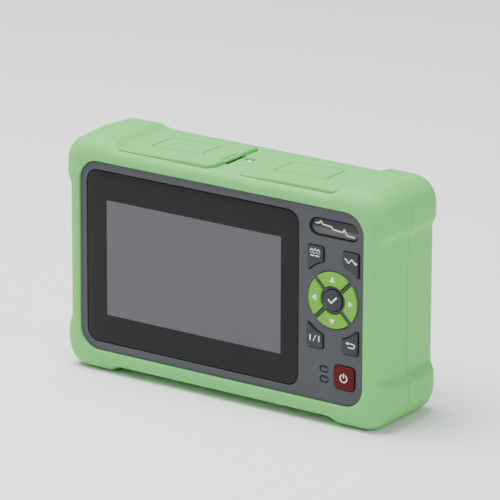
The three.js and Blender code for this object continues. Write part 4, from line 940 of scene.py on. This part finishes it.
def corner_key(sx, sz):
    """Upright sides, a level top, and a hollow arc round the arrow ring."""
    u = np.linspace(CORNER_IN, CORNER_OUT, 7)
    arc = np.stack([u, np.sqrt(CORNER_ARC**2 - u**2)], 1)
    points = np.concatenate([[[CORNER_OUT, CORNER_TOP], [CORNER_IN, CORNER_TOP]], arc]) * [sx, sz]
    radii = [0.9, 0.9, 0.9, 0, 0, 0, 0, 0, 0.9]
    if sx * sz < 0:
        points, radii = points[::-1], radii[::-1]
    return subdivided(filleted(points, radii))


def arrow_key(quarter):
    """A quarter of a ring, less half the gap on each side."""
    arcs = []
    for r, way in ((RING_OUT, 1), (RING_IN, -1)):
        sweep = math.pi / 4 - math.asin(RING_GAP / 2 / r)
        a = way * np.linspace(-sweep, sweep, 15) + quarter * math.pi / 2
        arcs.append(r * np.stack([np.cos(a), np.sin(a)], 1))
    radii = ([0.8] + [0] * 13 + [0.8]) * 2
    return subdivided(filleted(np.concatenate(arcs), radii, 5))


def key_piece(name, outline, middle, material):
    """A cap with a flange and a plunger behind it, riding on the key's own body."""
    outline = outline + [RING_X, RING_Z]
    middle = np.asarray(middle) + [RING_X, RING_Z]
    flange = inset(outline, -0.5)
    spoke = flange - middle
    plunger = middle + PLUNGER_R * spoke / np.linalg.norm(spoke, axis=1, keepdims=True)
    behind = [(flange, FLANGE_FRONT), (flange, FLANGE_BACK)]
    behind += [(plunger, FLANGE_BACK), (plunger, PLUNGER_END)]
    piece = cushion(f"cap_{name}", outline, middle, KEY_FRONT, FLANGE_FRONT, KEY_ROUND, 0.1, behind)
    return dress(piece, material, name, [name])


def key_signs(name, bars, middle):
    """White signs printed on a cap; each bar is (path, width) round the sign's own middle."""
    made = []
    for path, width in bars:
        path = np.asarray(path, float) + middle + [RING_X, RING_Z]
        if np.ndim(width):
            made.append(bar(path, width, KEY_FRONT - 0.02, 0.3))
        else:
            made.append(bar(*round_ended(path, width), KEY_FRONT - 0.02, 0.3))
    return dress(marks(f"sign_{name}", made), white_print, name)


dark_plastic = finish("dark_key", linear(34, 37, 42), 0.45, grain=1500, depth=0.00002)
green_plastic = finish("green_key", linear(94, 165, 32), 0.4, grain=1500, depth=0.00002)
red_plastic = finish("red_key", linear(80, 8, 16), 0.4, grain=1500, depth=0.00001, gloss=0.12)
white_print = finish("white_print", linear(225, 228, 228), 0.5, grain=1200, depth=0.00001)

corner_mid = ((CORNER_IN + CORNER_OUT) / 2, 19.6)
for name, sx, sz in (
    ("key_real_avg", -1, 1),
    ("key_auto", 1, 1),
    ("key_a_b", -1, -1),
    ("key_escape", 1, -1),
):
    middle = (sx * corner_mid[0], sz * corner_mid[1])
    key_piece(name, corner_key(sx, sz), middle, dark_plastic)
turn = np.linspace(0, 2 * math.pi, 48, endpoint=False)
circle = np.stack([np.cos(turn), np.sin(turn)], 1)
key_piece("key_ok", 4.9 * circle, (0, 0), dark_plastic)
power_at = (6.3, -34.6)
power_outline = subdivided(rounded_outline(*power_at, 10.7, 10.7, 2.0, 8))
key_piece("key_power", power_outline, power_at, red_plastic)
ring_mid = (RING_OUT + RING_IN) / 2
for quarter, name in enumerate(("key_right", "key_up", "key_left", "key_down")):
    out = np.round([math.cos(quarter * math.pi / 2), math.sin(quarter * math.pi / 2)])
    key_piece(name, arrow_key(quarter), out * ring_mid, green_plastic)
    tip = np.linspace(-0.45, 0.55, 5)[:, None] * 2.3 * out
    key_signs(name, [(tip, np.linspace(2.9, 0.05, 5))], out * 9.5)

# The signs: a jagged line over a level one, a swept wave, two markers, a turned-back arrow, a
# tick and the usual power ring.
s = np.linspace(-1, 1, 25)
jagged = [(-2.5, -0.5), (-1.7, 0.6), (-0.9, -0.6), (0, 0.8), (0.9, -0.6), (1.7, 0.6), (2.5, -0.5)]
key_signs(
    "key_real_avg",
    [
        (np.array(jagged) + [0, 1.35], 0.42),
        ([(-2.5, 0), (2.5, 0)], 0.16),
        ([(-2.1, -1.2), (-0.5, -1.2)], 0.5),
        ([(0.5, -1.2), (2.1, -1.2)], 0.5),
    ],
    (-9.3, 20.1),
)
key_signs(
    "key_auto",
    [
        (np.stack([2.6 * s - 0.4, 0.8 * np.sin(s * math.pi * 1.5)], 1), 0.5),
        (np.array([[2.1, -0.75], [2.6, -0.75], [3.3, -0.75]]), np.array([1.5, 1.0, 0.05])),
    ],
    (9.6, 19.6),
)
key_signs(
    "key_a_b",
    [
        ([(-2.3, -1.2), (-2.3, 1.2)], 0.5),
        ([(-0.7, -1.3), (0.7, 1.3)], 0.32),
        ([(2.3, -1.2), (2.3, 1.2)], 0.5),
    ],
    (-9.2, -18.9),
)
bend = np.radians(np.linspace(-90, 90, 12))
hook = np.stack([1.3 + 0.9 * np.cos(bend), 0.9 * np.sin(bend)], 1)
key_signs(
    "key_escape",
    [
        (np.concatenate([[(-1.0, -0.9)], hook, [(-1.2, 0.9)]]), 0.45),
        (np.array([[-1.2, 0.9], [-1.8, 0.9], [-2.5, 0.9]]), np.array([1.7, 0.9, 0.05])),
    ],
    (9.7, -18.9),
)
key_signs("key_ok", [([(-1.9, 0.1), (-0.6, -1.2), (2.0, 1.4)], 0.75)], (0, 0))
sweep = np.radians(np.linspace(125, 415, 28))
key_signs(
    "key_power",
    [
        (1.75 * np.stack([np.cos(sweep), np.sin(sweep)], 1), 0.5),
        ([(0, 0.3), (0, 2.1)], 0.5),
    ],
    power_at,
)

# ------------------------------------------------------------------ screws
# Plated cross-head screws: one holds the boot's bridge, four the case and two the battery door.
plating = linear(215, 215, 213)
screw_steel = finish("plated_steel", plating, 0.24, metallic=1.0, grain=2500, depth=0.00001)


def screw(name, node, axis, shank_r, head_thick, rise=0.0):
    """A profile turned about the screw's axis: crowned head, cross recess, shank and tip. The
    recess sinks points near the two crossed lines, min(|u|, |v|) under 0.2 of the head."""
    low, high = (np.array(c) * 1000 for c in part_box(node))
    mid = (low + high) / 2
    head_r = (high[0] - low[0]) / 2
    top, tip = high[axis] + rise, low[axis]
    spread = np.array([0, 0.1, 0.2, 0.3, 0.4, 0.5, 0.6, 0.7, 0.8, 0.88, 0.94, 0.98, 1.0])
    crown = 0.35 * head_thick * spread**4
    radii = np.concatenate([spread[1:] * head_r, [head_r, shank_r, shank_r, 0.4 * shank_r]])
    under = top - head_thick
    heights = np.concatenate([top - crown[1:], [under, under, tip + 0.6, tip]])
    a = np.linspace(0, 2 * math.pi, 48, endpoint=False)
    u, v = radii[:, None] * np.cos(a), radii[:, None] * np.sin(a)
    h = np.repeat(heights[:, None], 48, 1)
    recess = (np.minimum(np.abs(u), np.abs(v)) < 0.17 * head_r) & (np.hypot(u, v) < 0.62 * head_r)
    recess[len(spread) - 1 :] = False
    h = h - np.where(recess, 0.45 * head_thick, 0)
    ends = [top - 0.5 * head_thick, tip]
    count = len(radii)
    if axis == 1:
        points = np.stack([mid[0] + u, h, mid[2] + v], -1).reshape(-1, 3)
        poles = [[mid[0], ends[0], mid[2]], [mid[0], ends[1], mid[2]]]
    else:
        points = np.stack([mid[0] + u, mid[1] + v, h], -1).reshape(-1, 3)
        poles = [[mid[0], mid[1], ends[0]], [mid[0], mid[1], ends[1]]]
    quads = grid_quads(count, 48, wrap_columns=True)
    fans = end_fans(count * 48, 48)
    made = skin(name, np.concatenate([points, poles]), quads, fans)
    return dress(shade(made, 30), screw_steel, "tester", [node])


screw("screw_bridge", "bridge_screw", 2, 1.25, 1.3, rise=1.3)
for corner in ("upper_right", "upper_left", "lower_left", "lower_right"):
    screw(f"screw_case_{corner}", f"case_screw_{corner}", 1, 1.25, 1.8)
for side in ("left", "right"):
    screw(f"screw_door_{side}", f"door_screw_{side}", 1, 1.0, 0.9)

# ------------------------------------------------------------------ port wells and connectors
# Two grey trays under the flaps. The left one has the power, USB and micro USB sockets, and the
# right one two threaded fibre adapters and a smaller one for the visible fault light.
for tray in ("socket_well", "fibre_well"):
    dress(softened_copy(f"tray_{tray}", tray, 0.2), case_plastic, "tester", [tray])
black_plastic = finish("black_plastic", linear(34, 34, 36), 0.45, grain=1500, depth=0.00002)
tin, plate_nickel = linear(196, 198, 200), linear(200, 198, 190)
tinned_steel = finish("tinned_steel", tin, 0.34, metallic=1.0, grain=3000, depth=0.00001)
nickel = finish("nickel_plate", plate_nickel, 0.25, metallic=1.0, grain=3000, depth=0.000006)
jack = softened_copy("socket_power", "power_socket", 0.12)
dress(jack, black_plastic, "tester", ["power_socket"])
for name in ("usb_host_socket", "usb_micro_socket"):
    dress(softened_copy(f"shell_{name}", name, 0.06), tinned_steel, "tester", [name])


def adapter(name, node, r, threads):
    """A profile turned about Z: bore, barrel, nut and threaded mouth. The thread's radius falls
    and rises by a saw of 0.12 with the height."""
    low, high = (np.array(c) * 1000 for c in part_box(node))
    x, y = (low[0] + high[0]) / 2, (low[1] + high[1]) / 2
    foot, top, nut = low[2], high[2], 94.7
    saw = np.linspace(nut + 1.5, top - 0.3, threads * 2 + 1)
    depth = 0.12 * (np.arange(threads * 2 + 1) % 2)
    mouth = max(r - 1.2, 2.0)
    radius = np.concatenate(
        [[1.3, r, r, r + 1.4, r + 1.4, r], r - depth, [r - 0.25, mouth, mouth, 1.8, 1.8, 1.3]]
    )
    height = np.concatenate(
        [
            [foot, foot, nut, nut, nut + 1.2, nut + 1.2],
            saw,
            [top, top, top - 4, top - 4, top - 1, top - 1],
        ]
    )
    a = np.linspace(0, 2 * math.pi, 60, endpoint=False)
    points = np.stack(
        [
            x + radius[:, None] * np.cos(a),
            y + radius[:, None] * np.sin(a),
            np.repeat(height[:, None], 60, 1),
        ],
        -1,
    ).reshape(-1, 3)
    quads = grid_quads(len(radius), 60, wrap_rows=True, wrap_columns=True)
    return dress(shade(skin(name, points, quads), 30), nickel, "tester", [node])


adapter("adapter_test", "fibre_adapter_test", 4.0, 7)
adapter("adapter_meter", "fibre_adapter_meter", 4.0, 7)
adapter("adapter_fault_light", "fault_light_adapter", 3.0, 7)

# ------------------------------------------------------------------ battery door, label, speaker
# A screwed door of the case's plastic closes the battery bay. A silver label with blank printed
# fields lies in a shallow seat, and a small speaker sits behind five slots.
door = softened_copy("door_shell", "battery_door", 0.3)
dress(door, case_plastic, "tester", ["battery_door"])
label_fields = [
    (8.0, 85.0, 34.0, 2.2, linear(90, 92, 94)),
    (2.0, 80.6, 22.0, 1.2, linear(130, 132, 134)),
    (4.5, 77.6, 27.0, 1.2, linear(130, 132, 134)),
    (1.0, 74.6, 20.0, 1.2, linear(130, 132, 134)),
    (44.0, 80.1, 18.0, 14.0, linear(150, 152, 154)),
    (44.0, 80.1, 17.2, 13.2, linear(182, 184, 185)),
]
foil, fields = linear(182, 184, 185), printed(label_fields)
label_foil = finish("label_foil", foil, 0.42, metallic=0.2, grain=900, depth=0.000004, ink=fields)
label = softened_copy("label_plate", "rating_label", 0.08)
dress(label, label_foil, "tester", ["rating_label"])

# ------------------------------------------------------------------ boards, battery, modules
# Glass-fibre boards with green lacquer, a shrink-wrapped battery pack with its contacts, a tin
# box with the optics, the display's steel back, the key mat and the case's seal.


def tracks(tree, colour):
    """Lacquered copper tracks: the thin walls of a stretched cell pattern, a shade lighter."""
    place = node_of(tree, "TexCoord").outputs["Object"]
    shape = {"feature": "DISTANCE_TO_EDGE", "distance": "EUCLIDEAN"}
    cells = node_of(tree, "TexVoronoi", {"Scale": 220, "Vector": place}, **shape)
    span = {"From Min": 0.03, "From Max": 0.06, "To Min": 0.6, "To Max": 0.0}
    wall = node_of(tree, "MapRange", {"Value": cells.outputs["Distance"], **span})
    over = {"Factor": wall.outputs[0], "A": colour, "B": linear(70, 140, 90)}
    return node_of(tree, "Mix", over, data_type="RGBA").outputs["Result"]


lacquer, film = linear(24, 84, 50), linear(40, 86, 140)
board_lacquer = finish(
    "board_lacquer", lacquer, 0.35, grain=700, depth=0.00001, coat=0.2, ink=tracks
)
silicone = finish("grey_silicone", linear(130, 132, 134), 0.65, grain=1800, depth=0.00003)
wrap = finish("battery_wrap", film, 0.35, grain=600, depth=0.00002, drift=0.12, coat=0.3)
gilt = finish("gold_contacts", linear(205, 170, 95), 0.3, metallic=1.0, grain=2500, depth=0.00001)
for node, material in (
    ("main_board", board_lacquer),
    ("keypad_board", board_lacquer),
    ("port_board", board_lacquer),
    ("battery_pack", wrap),
    ("battery_contacts", gilt),
    ("optics_module", tinned_steel),
    ("lcd_panel", tinned_steel),
    ("keypad_mat", silicone),
    ("case_gasket", silicone),
    ("speaker", black_plastic),
):
    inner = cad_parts[node]
    inner.data.materials.clear()
    inner.data.materials.append(material)
